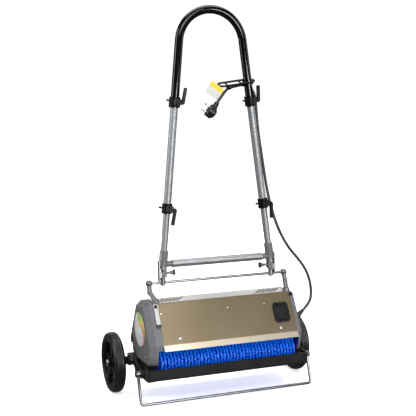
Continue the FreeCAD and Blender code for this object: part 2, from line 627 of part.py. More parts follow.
# ---- outlet, switch, label, screws ---------------------------------------------------------
def outlet():
    """Outlet body with two pin holes, hinge lugs and the spring flap over it."""
    w, t = OUTLET_W / 2, OUTLET_TALL / 2
    plate = block(-w, w, -t, t, 0, OUTLET_T)
    upright = [e for e in plate.Edges if abs(e.BoundBox.ZLength - OUTLET_T) < 0.01]
    plate = plate.makeFillet(10, upright)
    bottom = OUTLET_T - OUTLET_DEEP
    well = Part.makeCylinder(OUTLET_R + 3, OUTLET_DEEP + 20, V(0, 0, OUTLET_T - OUTLET_DEEP - 20))
    body = fuse(plate, well)
    body = body.cut(Part.makeCylinder(OUTLET_R, OUTLET_DEEP, V(0, 0, bottom)))
    for x in (-9.5, 9.5):
        body = body.cut(Part.makeCylinder(2.6, 12, V(x, 0, bottom - 12)))
    hinge_y, hinge_z, barrel_r, pin_r = 25.5, OUTLET_T + 3.2, 2.8, 1.2
    for x in (-16, 12):
        lug = block(x, x + 4, hinge_y - 2.5, hinge_y + 2.5, OUTLET_T - 1, hinge_z + 2.5)
        body = body.fuse(lug)
    pin = cylinder(pin_r, V(-16, hinge_y, hinge_z), V(16, hinge_y, hinge_z))
    body = body.fuse(pin).removeSplitter()
    lid = Part.makeCylinder(OUTLET_R + 3, 3.5, V(0, 0, OUTLET_T + 0.6))
    barrel = cylinder(barrel_r, V(-11.5, hinge_y, hinge_z), V(11.5, hinge_y, hinge_z))
    arm = block(-8, 8, 18, hinge_y, OUTLET_T + 0.6, OUTLET_T + 4.1)
    grip = cylinder(2, V(-7, -21.5, OUTLET_T + 3.5), V(7, -21.5, OUTLET_T + 3.5))
    flap = fuse(lid, barrel, arm, grip)
    hole = cylinder(pin_r + RUNNING, V(-17, hinge_y, hinge_z), V(17, hinge_y, hinge_z))
    return body, flap.cut(hole)


def rocker_switch():
    """A rocker that pivots on its own centre, in a slot of the left cover."""
    half = ROCKER_W / 2
    rocker = block(-4.2, 4.2, -half, half, -ROCKER_TALL / 2, ROCKER_TALL / 2)
    rocker = fuse(rocker, cylinder(5.0, V(0, -half, 0), V(0, half, 0)))
    return placed(rocker, V(-COVER_X + 1.5, ROCKER_Y, ROCKER_Z), Y_AXIS, 5)


def park_lever():
    """A flat lever hung from the left front bolt, with a rubber tip."""
    bar = block(-6, 6, -52, 0, 1.2, 3.2)
    eye = Part.makeCylinder(7.5, 2.0, V(0, 0, 1.2))
    hole = Part.makeCylinder(3.0 + RUNNING, 10, V(0, 0, -2))
    lever = fuse(bar, eye).cut(hole)
    tip = block(-6.5, 6.5, -63, -52.1, 0.6, 5.0)
    x = -PANEL_HALF - 5
    return on_panel(group(lever, tip), x, TOP_Z - 8)


def fasteners():
    """Screw heads on the panels, outlet and covers, and the two front bolts."""
    heads = []
    for x in (-157, 157):
        heads.append(on_panel(Part.makeCylinder(3.6, 2, V(0, 0, 0.1)), x, 192))
    for x in (-200, 3, 120):
        heads.append(on_panel(Part.makeCylinder(2.2, 1, V(0, 0, 0.1)), x, 260))
    for x in (-1, 1):
        for y in (-1, 1):
            at = V(x * (OUTLET_W / 2 - 5.5), y * (OUTLET_TALL / 2 - 5.5), OUTLET_T + 0.1)
            heads.append(on_panel(Part.makeCylinder(2.4, 1.2, at), OUTLET_X, OUTLET_Z))
    front = fuse(Part.makeCylinder(3.0, 5, V(0, 0, 0.2)), Part.makeCylinder(5.5, 3, V(0, 0, 3.6)))
    for x in (-PANEL_HALF - 5, PANEL_HALF + 2.5):
        heads.append(on_panel(front, x, TOP_Z - 8))
    for y, z in ((-48, 134), (62, 146)):
        heads.append(along_x(4.0, RIGHT_X + 0.1, RIGHT_X + 2.4, y, z))
        heads.append(along_x(4.0, -COVER_X - 2.4, -COVER_X - 0.1, y, z))
    return group(*heads)


def fittings():
    body, flap = outlet()
    NODES["outlet_body"] = on_panel(body, OUTLET_X, OUTLET_Z)
    NODES["outlet_flap"] = on_panel(flap, OUTLET_X, OUTLET_Z)
    NODES["rocker_switch"] = rocker_switch()
    NODES["park_lever"] = park_lever()
    NODES["fasteners"] = fasteners()
    NODES["dial_label"] = along_x(LABEL_R, -COVER_X - 1.0, -COVER_X - 0.1, LABEL_Y, LABEL_Z)


# ---- handle --------------------------------------------------------------------------------
def handle_bracket():
    """The right bracket: foot on the casing, bent arm, ball head round the rod."""
    foot = V(PANEL_HALF - 2, BRACKET_FOOT_Y, TOP_Z + 0.2)
    base = cone(11, 9, foot, foot + V(0, 0, 9))
    knee = V(BRACKET_X + 1, ROD_Y - 9, ROD_Z - 24)
    head = V(BRACKET_X, ROD_Y, ROD_Z)
    arm = fuse(
        cylinder(7, foot + V(0, 0, 5), knee),
        Part.makeSphere(8, knee),
        cylinder(7, knee, head),
        Part.makeSphere(10, head),
    )
    bore = along_x(ROD_R + SEAT, 190, 240, ROD_Y, ROD_Z)
    return fuse(base, arm).cut(bore)


def leg_yoke():
    """Foot of the right leg: cup on the rod, block, outer strip, neck into the cross tube."""
    cup = cylinder(8, V(LEG_X, 0, -7), V(LEG_X, 0, 30))
    tip = cylinder(3, V(LEG_X, 0, -11), V(LEG_X, 0, -6))
    inner = block(LEG_X - 10.5, LEG_X + 2, -9, 9, 16, 78)
    strip = block(LEG_X + 9, LEG_X + 12, -7, 7, 4, 64)
    bridge = block(LEG_X - 4, LEG_X + 11, -7, 7, 14, 30)
    neck = cylinder(NECK_R, V(NECK_IN, 0, CROSS_H), V(LEG_X - 6, 0, CROSS_H))
    sleeve = cylinder(LOWER_TUBE_R + 3, leg_point(48), leg_point(92))
    yoke = fuse(cup, tip, inner, strip, bridge, neck, sleeve)
    socket = cylinder(LOWER_TUBE_R + SEAT, leg_point(36), leg_point(110))
    rod_hole = cylinder(ROD_R + RUNNING, V(120, 0, 0), V(220, 0, 0))
    knob_hole = cylinder(3.5 + RUNNING, V(140, 0, KNOB_H), V(LEG_X + 4, 0, KNOB_H))
    return yoke.cut(socket).cut(rod_hole).cut(knob_hole)


def pull_knob():
    """A sprung plunger with a round knob, in the right leg's yoke."""
    stem = cylinder(3.5, V(KNOB_X + 6, 0, KNOB_H), V(LEG_X, 0, KNOB_H))
    head = cone(KNOB_R, KNOB_R - 3, V(KNOB_X, 0, KNOB_H), V(KNOB_X + 6, 0, KNOB_H))
    waist = cone(KNOB_R - 4, 5, V(KNOB_X + 6, 0, KNOB_H), V(KNOB_X + 12, 0, KNOB_H))
    return fuse(stem, head, waist)


def collar(height, tube_r, lever_up):
    """A split clamp round the right leg, with ears in front, bolt, and its cam lever."""
    low, high = leg_point(height - COLLAR_TALL / 2), leg_point(height + COLLAR_TALL / 2)
    at = leg_point(height)
    outer = tube_r + COLLAR_WALL
    ears = block(at.x - 9, at.x + 13, BOLT_N - 5, 0, height - 9, height + 9)
    slit = block(at.x - 1, at.x + 1, BOLT_N - 8, 0, height - 20, height + 20)
    body = fuse(cylinder(outer, low, high), ears)
    body = body.cut(cylinder(tube_r + SEAT, low - (high - low), high + (high - low)))
    body = body.cut(slit)
    bolt = cylinder(2.6, V(at.x - 30, BOLT_N, height), V(at.x + 12.8, BOLT_N, height))
    tab = block(at.x + 12.5, at.x + 17.5, BOLT_N - 1.6, BOLT_N + 1.6, height - 3, height + 3)
    pin_x = at.x + 18.5
    pin_r = 2.0
    pin = cylinder(pin_r, V(pin_x, BOLT_N - 5.5, height), V(pin_x, BOLT_N + 5.5, height))
    eye = cylinder(3.4, V(pin_x, BOLT_N - 1.6, height), V(pin_x, BOLT_N + 1.6, height))
    body = fuse(body, bolt, tab, eye, pin)
    way = 1 if lever_up else -1
    z0, z1 = sorted((height, height + way * LEVER_LONG))
    half = LEVER_W / 2
    cheek = block(pin_x - 2.2, pin_x + LEVER_T - 2.2, BOLT_N - half, BOLT_N + half, z0, z1)
    lever = fuse(
        cheek,
        cylinder(4.6, V(pin_x, BOLT_N - half, height), V(pin_x, BOLT_N + half, height)),
    )
    fork = block(pin_x - 9, pin_x + 9, BOLT_N - 2.0, BOLT_N + 2.0, height - 9, height + 9)
    hole_ends = V(pin_x, BOLT_N - 9, height), V(pin_x, BOLT_N + 9, height)
    lever = lever.cut(fork).cut(cylinder(pin_r + RUNNING, *hole_ends))
    return body, lever


def hand_loop():
    """The black hand loop: two tapered legs joined by a round arch."""
    foot_h = UPPER_COLLAR_H - COLLAR_TALL / 2 - 2
    arch_r = (LEG_X - LEG_TAN * (LOOP_TOP_H - LEG_H)) * LEG_COS / (1 - LEG_TAN * LEG_COS)
    arch_r = (arch_r * (1 - LEG_TAN * LEG_COS)) / (1 - math.sin(math.radians(TAPER)))
    centre_h = LOOP_TOP_H - arch_r
    start = leg_point(foot_h)
    side = V(arch_r * LEG_COS, 0, centre_h + arch_r * math.sin(math.radians(TAPER)))
    far_side, far_start = V(-side.x, 0, side.z), V(-start.x, 0, start.z)
    arch = Part.Arc(side, V(0, 0, LOOP_TOP_H), far_side).toShape()
    path = Part.Wire([
        Part.LineSegment(start, side).toShape(), arch,
        Part.LineSegment(far_side, far_start).toShape(),
    ])
    tubes = []
    for radius in (LOOP_TUBE_R, MID_TUBE_R + SLIDING):
        section = Part.Wire(Part.makeCircle(radius, start, side - start))
        tubes.append(path.makePipeShell([section], True, False))
    return tubes[0].cut(tubes[1])


def cord_hook():
    """A long open ring clamped to the right side of the loop, with a clip for the cord."""
    half_long, half_wide, wire_r = 41.0, 15.5, 3.2
    bars = [
        cylinder(wire_r, V(-half_long, y, 0), V(half_long, y, 0))
        for y in (-half_wide, half_wide)
    ]
    for x, way in ((half_long, 1), (-half_long, -1)):
        middle = V(x + way * half_wide, 0, 0)
        arc = Part.Arc(V(x, -half_wide, 0), middle, V(x, half_wide, 0)).toShape()
        section = Part.Wire(Part.makeCircle(wire_r, V(x, -half_wide, 0), X_AXIS))
        bars.append(Part.Wire([arc]).makePipeShell([section], True, False))
    bar_xs = (-32, 12)
    for x in bar_xs:
        bars.append(cylinder(wire_r - 0.6, V(x, -half_wide, 0), V(x, half_wide, 0)))
    ring_shape = placed(fuse(*bars), V(0, 0, 0), X_AXIS, 20)
    ring_shape = placed(ring_shape, V(HOOK_X, HOOK_Y, HOOK_Z), Y_AXIS, -HOOK_RISE)
    height = (HOOK_Z - ROD_Z) / math.cos(math.radians(LEAN))
    low, high = leg_point(height - 7), leg_point(height + 7)
    clamp = on_handle(cylinder(LOOP_TUBE_R + 3.5, low, high))
    low, high = leg_point(height - 40), leg_point(height + 40)
    clip_at, clip_on = CORD_UPPER_TURNS[-2], CORD_UPPER_TURNS[-1]
    along = (clip_on - clip_at).normalize()
    middle = clip_on - along * 5
    clip = cylinder(6.5, middle - along * 5, middle + along * 5)
    bar_z = HOOK_Z + bar_xs[0] * math.sin(math.radians(HOOK_RISE))
    post = cylinder(2.6, middle, V(HOOK_X + bar_xs[0], middle.y, bar_z - 1.5))
    hook = fuse(ring_shape, clamp, clip, post)
    cord_way = cylinder(CORD_R + SEAT, middle - along * 12, middle + along * 12)
    return hook.cut(on_handle(cylinder(LOOP_TUBE_R + SEAT, low, high))).cut(cord_way)


def handle():
    cross = ring(CROSS_R, NECK_R + SLIDING, V(-CROSS_HALF, 0, CROSS_H), V(CROSS_HALF, 0, CROSS_H))
    NODES["cross_tube"] = on_handle(cross)
    NODES["pivot_rod"] = along_x(ROD_R, -ROD_HALF, ROD_HALF, ROD_Y, ROD_Z)
    NODES["handle_brackets"] = both_sides(handle_bracket())
    mid_low = LOWER_COLLAR_H - COLLAR_TALL / 2
    mid_high = UPPER_COLLAR_H + COLLAR_TALL / 2 + TUBE_INSERT_MID * LEG_COS
    lower_high = LOWER_COLLAR_H + TUBE_INSERT_LOWER * LEG_COS
    bore = LOWER_TUBE_R + SLIDING
    pieces = {
        "leg_yoke": leg_yoke(),
        "lower_tube": ring(LOWER_TUBE_R, LOWER_TUBE_R - TUBE_WALL, leg_point(38),
                           leg_point(lower_high)),
        "pull_knob": pull_knob(),
        "mid_tube": ring(MID_TUBE_R, bore, leg_point(mid_low), leg_point(mid_high)),
    }
    for name, shape in pieces.items():
        NODES["right_" + name] = on_handle(shape)
        NODES["left_" + name] = on_handle(mirrored(shape))
    uppers = []
    for side, put in (("right", False), ("left", True)):
        for level, height, tube_r in (
            ("lower", LOWER_COLLAR_H, MID_TUBE_R), ("upper", UPPER_COLLAR_H, LOOP_TUBE_R)
        ):
            body, lever = collar_on(put, height, tube_r, level == "upper")
            NODES[side + "_" + level + "_lever"] = on_handle(lever)
            if level == "upper":
                uppers.append(on_handle(body))
            else:
                NODES[side + "_lower_collar"] = on_handle(body)
    NODES["upper_collars"] = group(*uppers)
    NODES["hand_loop"] = on_handle(hand_loop())
    NODES["cord_hook"] = cord_hook()


def collar_on(left, height, tube_r, lever_up):
    """Every cam lever sits on its collar's right-hand side, so the left collars aren't mirrored."""
    if not left:
        return collar(height, tube_r, lever_up)
    at = leg_point(height)
    lean = FreeCAD.Rotation(Y_AXIS, 2 * TAPER)
    turn = FreeCAD.Placement(V(-at.x, 0, height), lean)
    turn = turn * FreeCAD.Placement(V(-at.x, 0, -height), FreeCAD.Rotation())
    out = []
    for shape in collar(height, tube_r, lever_up):
        moved = shape.copy()
        moved.Placement = turn * moved.Placement
        out.append(moved)
    return out


# ---- cord ----------------------------------------------------------------------------------
def gland():
    """The strain relief, drawn along Z and tilted up out of the right cover."""
    body = fuse(
        cone(10, 8.5, V(0, 0, 0), V(0, 0, 9)),
        cone(7.5, 5.4, V(0, 0, 8), V(0, 0, GLAND_LONG)),
        Part.makeSphere(9.5, V(0, 0, 0)),
    )
    body = body.cut(Part.makeCylinder(CORD_R + SEAT, GLAND_LONG + 20, V(0, 0, 4)))
    tilted = placed(body, GLAND_AT + V(0.2, 0, 0), Y_AXIS, 90 - GLAND_TURN)
    return tilted.common(block(RIGHT_X + 0.1, 400, -200, 200, 0, 400))


def plug_axes():
    turn = math.radians(PLUG_TURN)
    pins = V(-math.cos(turn), 0, math.sin(turn))
    return pins, V(math.sin(turn), 0, math.cos(turn))


def plug_entry():
    pins, up = plug_axes()
    return PLUG_AT + up * 34 - pins * 4


def plug():
    """A right-angle mains plug: round body, two pins, and the boss the cord comes out of."""
    pins, up = plug_axes()
    body = cylinder(19, PLUG_AT - pins * 10, PLUG_AT + pins * 7)
    back = cone(12, 19, PLUG_AT - pins * 16, PLUG_AT - pins * 10)
    boss = cone(9.5, 6.5, PLUG_AT + up * 10 - pins * 4, plug_entry())
    prongs = [
        cylinder(2.4, PLUG_AT + up * way + pins * 6, PLUG_AT + up * way + pins * 26)
        for way in (-9.5, 9.5)
    ]
    return fuse(body, back, boss, *prongs)


def tag():
    """A folded paper tag, hanging from the cord just above the plug."""
    pins, up = plug_axes()
    foot = plug_entry() + up * 4
    corner = foot + pins * (CORD_R + 0.5)
    sheet = Part.makeBox(46, 0.8, 38)
    axes = FreeCAD.Rotation(pins, V(0, 1, 0), up, "XZY")
    sheet.Placement = FreeCAD.Placement(corner - V(0, 0.4, 0), axes)
    return sheet.copy()


def cords():
    turn = math.radians(GLAND_TURN)
    out = V(math.cos(turn), 0, math.sin(turn))
    start = GLAND_AT + V(0.2, 0, 0) + out * 5
    lower = [start] + CORD_LOWER_TURNS + [CORD_SPLIT]
    upper = [CORD_SPLIT] + CORD_UPPER_TURNS + [plug_entry() + plug_axes()[1] * 27, plug_entry()]
    for name, points in (("cord_lower", lower), ("cord_upper", upper)):
        radii = cord_radii(points)
        NODES[name], length = swept(points, radii, CORD_R)
        ratio = NODES[name].Volume / (math.pi * CORD_R ** 2 * length)
        print(name, "length", round(length, 1), "volume ratio", round(ratio, 4))
        print("  radii", [round(r, 1) for r in radii])
    NODES["cord_gland"] = gland()
    NODES["cord_plug"] = plug()
    NODES["cord_tag"] = tag()


# ---- everything ----------------------------------------------------------------------------
def export():
    os.makedirs("parts", exist_ok=True)
    for name, shape in sorted(NODES.items()):
        if not shape.isValid() or shape.Volume <= 0:
            print("not valid:", name)
        placed_shape = shape.copy()
        placed_shape.translate(V(0, Y_SHIFT, 0))
        placed_shape.exportStep("parts/" + name + ".step")
    print(len(NODES), "nodes")


panels()
NODES["skirts"] = group(
    skirt(FRONT_LIP_Y, FRONT_LIP_Z, -1), skirt(REAR_LIP_Y, REAR_LIP_Z, 1)
)
covers()
frame_and_drive()
wheels()
NODES["kickstand"] = kickstand()
NODES["front_tray"] = tray(-1)
NODES["rear_tray"] = tray(1)
fittings()
handle()
cords()
export()
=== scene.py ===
import math

import bmesh
import bpy
from mathutils import Matrix, Quaternion, Vector


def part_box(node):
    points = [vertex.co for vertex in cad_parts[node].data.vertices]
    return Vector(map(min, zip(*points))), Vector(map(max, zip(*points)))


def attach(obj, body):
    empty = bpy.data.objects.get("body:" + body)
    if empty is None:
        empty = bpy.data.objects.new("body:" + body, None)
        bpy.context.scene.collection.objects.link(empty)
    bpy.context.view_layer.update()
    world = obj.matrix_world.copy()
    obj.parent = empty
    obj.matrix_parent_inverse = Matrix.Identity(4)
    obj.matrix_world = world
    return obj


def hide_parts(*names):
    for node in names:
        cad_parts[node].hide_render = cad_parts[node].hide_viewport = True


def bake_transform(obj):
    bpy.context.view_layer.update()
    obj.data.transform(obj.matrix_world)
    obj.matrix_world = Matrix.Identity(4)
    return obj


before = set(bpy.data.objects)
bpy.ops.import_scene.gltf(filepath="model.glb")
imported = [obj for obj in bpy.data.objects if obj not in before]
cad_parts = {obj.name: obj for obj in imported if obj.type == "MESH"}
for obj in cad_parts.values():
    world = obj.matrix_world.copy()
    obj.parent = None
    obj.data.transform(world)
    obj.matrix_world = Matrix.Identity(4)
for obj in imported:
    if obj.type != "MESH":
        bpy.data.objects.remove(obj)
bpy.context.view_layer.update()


# ---- camera --------------------------------------------------------------------------------
# A long lens at chest height, a little to the machine's left, looking slightly down and held
# almost level.
camera = bpy.data.objects.new("camera", bpy.data.cameras.new("camera"))
bpy.context.scene.collection.objects.link(camera)
bpy.context.scene.camera = camera
camera.data.lens = 80.88
camera.location = (-0.9908, -2.5930, 0.8220)
aim_turn, aim_down, aim_roll = math.radians(20.7), math.radians(5.76), math.radians(-1.27)
aim = Vector((
    math.sin(aim_turn) * math.cos(aim_down),
    math.cos(aim_turn) * math.cos(aim_down),
    -math.sin(aim_down),
))
camera.rotation_mode = "QUATERNION"
camera.rotation_quaternion = aim.to_track_quat("-Z", "Y") @ Quaternion((0, 0, 1), aim_roll)


# ---- helpers for every finish, first used by the floor ---------------------------------------
def linear(code):
    """An sRGB hex colour as linear RGBA."""
    parts = [int(code[i:i + 2], 16) / 255 for i in (1, 3, 5)]
    return [c / 12.92 if c < 0.04045 else ((c + 0.055) / 1.055) ** 2.4 for c in parts] + [1]


def wire(tree, node, sockets):
    """Each socket of the node takes a value or another node's output."""
    for name, value in sockets.items():
        if isinstance(value, bpy.types.NodeSocket):
            tree.links.new(value, node.inputs[name])
        else:
            node.inputs[name].default_value = value
    return node


def add(tree, kind, sockets=None, **settings):
    """Adds a node with its settings and its links."""
    node = tree.nodes.new(kind)
    for name, value in settings.items():
        setattr(node, name, value)
    return wire(tree, node, sockets or {})


def new_finish(name, **values):
    """A material with its shader, and the piece's own coordinates for its patterns."""
    material = bpy.data.materials.new(name)
    material.use_nodes = True
    tree = material.node_tree
    shader = tree.nodes["Principled BSDF"]
    wire(tree, shader, {k.replace("_", " "): v for k, v in values.items()})
    place = add(tree, "ShaderNodeTexCoord").outputs["Object"]
    return material, tree, shader, place


# ---- studio: floor and soft boxes ------------------------------------------------------------
# A white paper floor that runs into a white background. Only the camera sees the background at full
# strength and glossy rays don't see the floor, so black pieces stay black; soft boxes stand
# above, in front and at the sides.
FLOOR_R = 14
GLOW_FROM, GLOW_TO = 0.5, 1.8
floor_mesh = bpy.data.meshes.new("floor")
shape = bmesh.new()
bmesh.ops.create_circle(shape, cap_ends=True, radius=FLOOR_R, segments=96)
shape.to_mesh(floor_mesh)
shape.free()
floor = bpy.data.objects.new("floor", floor_mesh)
bpy.context.scene.collection.objects.link(floor)
floor.visible_glossy = False
floor_paper, tree, shader, place = new_finish(
    "white_floor_paper", Base_Color=linear("#f6f6f6"), Roughness=0.9,
    Emission_Color=linear("#ffffff")
)
far_off = add(tree, "ShaderNodeVectorMath", {0: place}, operation="LENGTH")
glow = add(tree, "ShaderNodeMapRange", {
    "Value": far_off.outputs["Value"], "From Min": GLOW_FROM, "From Max": GLOW_TO,
    "To Min": 0.5, "To Max": 1.0,
})
wire(tree, shader, {"Emission Strength": glow.outputs[0]})
floor_mesh.materials.append(floor_paper)

ROOM_LIGHT, BACKGROUND = 0.13, 1.1
world = bpy.data.worlds.new("white_room")
bpy.context.scene.world = world
world.use_nodes = True
seen = add(world.node_tree, "ShaderNodeLightPath").outputs["Is Camera Ray"]
strength = add(world.node_tree, "ShaderNodeMapRange", {
    "Value": seen, "To Min": ROOM_LIGHT, "To Max": BACKGROUND
})
wire(world.node_tree, world.node_tree.nodes["Background"], {
    "Color": linear("#ffffff"), "Strength": strength.outputs[0]
})
bpy.context.scene.view_settings.view_transform = "Standard"


def soft_box(name, at, towards, size, power):
    """A rectangular light that the camera doesn't see."""
    light = bpy.data.lights.new(name, "AREA")
    light.shape, light.size, light.size_y, light.energy = "RECTANGLE", size[0], size[1], power
    box = bpy.data.objects.new(name, light)
    bpy.context.scene.collection.objects.link(box)
    box.location = at
    box.visible_camera = False
    box.rotation_mode = "QUATERNION"
    box.rotation_quaternion = (Vector(towards) - Vector(at)).to_track_quat("-Z", "Y")


soft_box("overhead_box", (0.2, 0.3, 2.9), (0, 0, 0.2), (2.4, 1.8), 60)
soft_box("front_box", (-0.4, -2.4, 2.3), (0, 0, 0.2), (2.2, 1.0), 56)
soft_box("low_front_box", (0.6, -3.2, 0.8), (0, 0, 0.15), (1.2, 0.7), 70)
soft_box("back_box", (0.8, 3.4, 1.0), (0, 0, 0.4), (3.4, 1.8), 20)
soft_box("left_box", (-2.6, 0.2, 1.5), (0, 0, 0.4), (0.9, 2.2), 46)
soft_box("right_box", (2.6, -0.6, 1.6), (0, 0, 0.4), (0.8, 2.2), 22)


# ---- cord ----------------------------------------------------------------------------------
# One black rubber-sheathed lead, 8.5 mm across and 0.89 m long. It leaves the right cover,
# bows outwards, climbs the right leg, goes through the hook's clip and hangs with its plug.
SET_BACK = Vector((0, -0.0435, 0))
lower_turns = [
    (0.22695, -0.068, 0.21581), (0.266, -0.068, 0.247), (0.278, -0.058, 0.28),
    (0.278, -0.047, 0.318), (0.268, -0.036, 0.352), (0.25, -0.025, 0.381),
    (0.231, -0.013, 0.407), (0.215, -0.002, 0.437), (0.203, 0.009, 0.47),
    (0.1975, 0.0125, 0.488),
]
upper_turns = [
    (0.1975, 0.0125, 0.488), (0.192, 0.016, 0.506), (0.183, 0.023, 0.546),
    (0.175, 0.028, 0.592), (0.168, 0.030, 0.642), (0.161, 0.031, 0.694),
    (0.154, 0.033, 0.746), (0.149, 0.034, 0.796), (0.147, 0.035, 0.840),
    (0.144, 0.036, 0.878), (0.128, 0.038, 0.902), (0.100, 0.037, 0.906),
    (0.072, 0.022, 0.900), (0.046, 0.008, 0.896), (0.0264, 0.003, 0.8757),
    (0.0104, 0.003, 0.8540),
]
CORD_ACROSS = 0.0085


def plain_mesh(source, name):
    """The evaluated object as a plain mesh object, and the source is gone."""
    bpy.context.view_layer.update()
    graph = bpy.context.evaluated_depsgraph_get()
    mesh = bpy.data.meshes.new_from_object(source.evaluated_get(graph))
    bpy.data.objects.remove(source)
    made = bpy.data.objects.new(name, mesh)
    bpy.context.scene.collection.objects.link(made)
    mesh.name = name
    return made


def lead_line(turns, across):
    """The route as one NURBS spline, as thick as asked."""
    curve = bpy.data.curves.new("lead", "CURVE")
    curve.dimensions = "3D"
    spline = curve.splines.new("NURBS")
    spline.points.add(len(turns) - 1)
    for point, turn in zip(spline.points, turns):
        point.co = (*(Vector(turn) + SET_BACK), 1)
    spline.order_u = 3
    spline.use_endpoint_u = True
    spline.resolution_u = 10
    curve.bevel_depth = across / 2
    curve.bevel_resolution = 4
    curve.use_fill_caps = across > 0
    made = bpy.data.objects.new("lead", curve)
    bpy.context.scene.collection.objects.link(made)
    return made


def lead(name, turns):
    """The tube, smooth, and the points of its centreline."""
    line = plain_mesh(lead_line(turns, 0), "lead_line")
    path = [v.co.copy() for v in line.data.vertices]
    bpy.data.objects.remove(line)
    tube = plain_mesh(lead_line(turns, CORD_ACROSS), name)
    for face in tube.data.polygons:
        face.use_smooth = True
    return tube, path


# Rubber sheath, extruded: near black and satin, with a faint cloudiness from handling.
cord_rubber, tree, shader, place = new_finish("cord_rubber_satin", Roughness=0.42)
cloud = add(tree, "ShaderNodeTexNoise", {"Vector": place, "Scale": 60.0, "Detail": 3.0})
tone = add(tree, "ShaderNodeMix", {
    "Factor": cloud.outputs["Fac"], 6: linear("#0a0b0c"), 7: linear("#141517")
}, data_type="RGBA")
wire(tree, shader, {"Base Color": tone.outputs[2]})

lower_lead, lower_path = lead("lead_lower", lower_turns)
upper_lead, upper_path = lead("lead_upper", upper_turns)
lower_lead.data.materials.append(cord_rubber)
upper_lead.data.materials.append(cord_rubber)
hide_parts("cord_lower")
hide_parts("cord_upper")
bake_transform(lower_lead)
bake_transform(upper_lead)


# ---- casing panels ---------------------------------------------------------------------------
# Front and rear panels and the top plate are folded from 1.5 mm stainless sheet and screwed to
# the rails; the skirts below them are the same sheet's turned edges.
def coat(material, *nodes):
    """Gives the frame's own pieces this material."""
    for node in nodes:
        for place_in_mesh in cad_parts[node].material_slots:
            place_in_mesh.material = material


def sheet_finish(name, dark, light, rough, grain):
    """Stainless sheet brushed along its length. The real scratches are 0.05 mm apart and are
    drawn 0.6 mm apart so that they show; wide soft bands in the colour are painted reflections
    standing for the sheet's slight waviness."""
    material, tree, shader, place = new_finish(name, Metallic=1.0, Roughness=rough)
    along = add(tree, "ShaderNodeMapping", {"Vector": place, "Scale": (7.0, 1600.0, 1600.0)})
    brushed = add(tree, "ShaderNodeTexNoise", {
        "Vector": along.outputs[0], "Scale": 1.0, "Detail": 2.0
    })
    painted_wave_reflection = add(tree, "ShaderNodeTexNoise", {"Vector": place, "Scale": 5.0, "Detail": 1.0})
    both = add(tree, "ShaderNodeMath", {0: brushed.outputs["Fac"], 1: grain, 2: 0.5 - grain / 2},
               operation="MULTIPLY_ADD")
    mixed = add(tree, "ShaderNodeMath", {0: painted_wave_reflection.outputs["Fac"], 1: 0.8, 2: both.outputs[0]},
                operation="MULTIPLY_ADD")
    ramp = add(tree, "ShaderNodeMapRange", {
        "Value": mixed.outputs[0], "From Min": 0.55, "From Max": 1.25
    })
    tone = add(tree, "ShaderNodeMix", {
        "Factor": ramp.outputs[0], 6: linear(dark), 7: linear(light)
    }, data_type="RGBA")
    bump = add(tree, "ShaderNodeBump", {
        "Height": brushed.outputs["Fac"], "Strength": 0.12, "Distance": 0.0002
    })
    wire(tree, shader, {"Base Color": tone.outputs[2], "Normal": bump.outputs[0]})
    return material


# The panels' warm khaki is a painted reflection of a brown room, put into the brushed steel's colour;
# the top plate and the skirts are painted pale, a painted reflection of the lights above, though all
# are one sheet.
panel_steel = sheet_finish("stainless_sheet_brushed", "#675d49", "#807461", 0.42, 0.3)
top_steel = sheet_finish("stainless_sheet_bright", "#b9b7b1", "#e4e2dd", 0.34, 0.25)
skirt_steel = sheet_finish("stainless_edge_bright", "#b4a892", "#e6dccb", 0.36, 0.25)
coat(panel_steel, "front_panel", "rear_panel")
coat(top_steel, "top_plate")
coat(skirt_steel, "skirts")


# ---- end covers and lower guards ---------------------------------------------------------------
# The two end covers are deep-drawn steel caps in dark grey crinkle paint; the guards below them
# are black moulded plastic. All are screwed to the side plates.
def crinkle_finish(name, dark, light, rough):
    """Crinkle paint: its wrinkles are about 0.8 mm across; the lighter specks in its colour are
    painted highlights where they catch the light, and the same pattern bumps the surface.
    """
    material, tree, shader, place = new_finish(name, Roughness=rough)
    crinkle = add(tree, "ShaderNodeTexVoronoi", {"Vector": place, "Scale": 900.0})
    cloud = add(tree, "ShaderNodeTexNoise", {"Vector": place, "Scale": 260.0, "Detail": 4.0})
    # Lighter specks mixed into the colour below are painted highlights on the wrinkles.
    wrinkle_glint = add(tree, "ShaderNodeMath", {0: crinkle.outputs["Distance"], 1: cloud.outputs["Fac"]},
                operation="MULTIPLY")
    ramp = add(tree, "ShaderNodeMapRange", {
        "Value": wrinkle_glint.outputs[0], "From Min": 0.08, "From Max": 0.42
    })
    tone = add(tree, "ShaderNodeMix", {
        "Factor": ramp.outputs[0], 6: linear(dark), 7: linear(light)
    }, data_type="RGBA")
    bump = add(tree, "ShaderNodeBump", {
        "Height": wrinkle_glint.outputs[0], "Strength": 0.35, "Distance": 0.0004
    })
    wire(tree, shader, {"Base Color": tone.outputs[2], "Normal": bump.outputs[0]})
    return material


cover_paint = crinkle_finish("grey_crinkle_paint", "#3d3e40", "#5c5d60", 0.5)
coat(cover_paint, "left_end_cover", "right_end_cover")


def moulded_finish(name, colour, rough, grain, size, shine_level=0.32):
    """Moulded plastic with a fine spark-eroded grain, a little cloudy from wear."""
    material, tree, shader, place = new_finish(
        name, Base_Color=linear(colour), IOR=1.53, Specular_IOR_Level=shine_level
    )
    skin = add(tree, "ShaderNodeTexNoise", {
        "Vector": place, "Scale": 1000.0 / size, "Detail": 3.0
    })
    wear = add(tree, "ShaderNodeTexNoise", {"Vector": place, "Scale": 14.0, "Detail": 5.0})
    shine = add(tree, "ShaderNodeMapRange", {
        "Value": wear.outputs["Fac"], "From Min": 0.35, "From Max": 0.65,
        "To Min": rough - 0.06, "To Max": rough + 0.08,
    })
    bump = add(tree, "ShaderNodeBump", {
        "Height": skin.outputs["Fac"], "Strength": grain, "Distance": 0.0003
    })
    wire(tree, shader, {"Roughness": shine.outputs[0], "Normal": bump.outputs[0]})
    return material


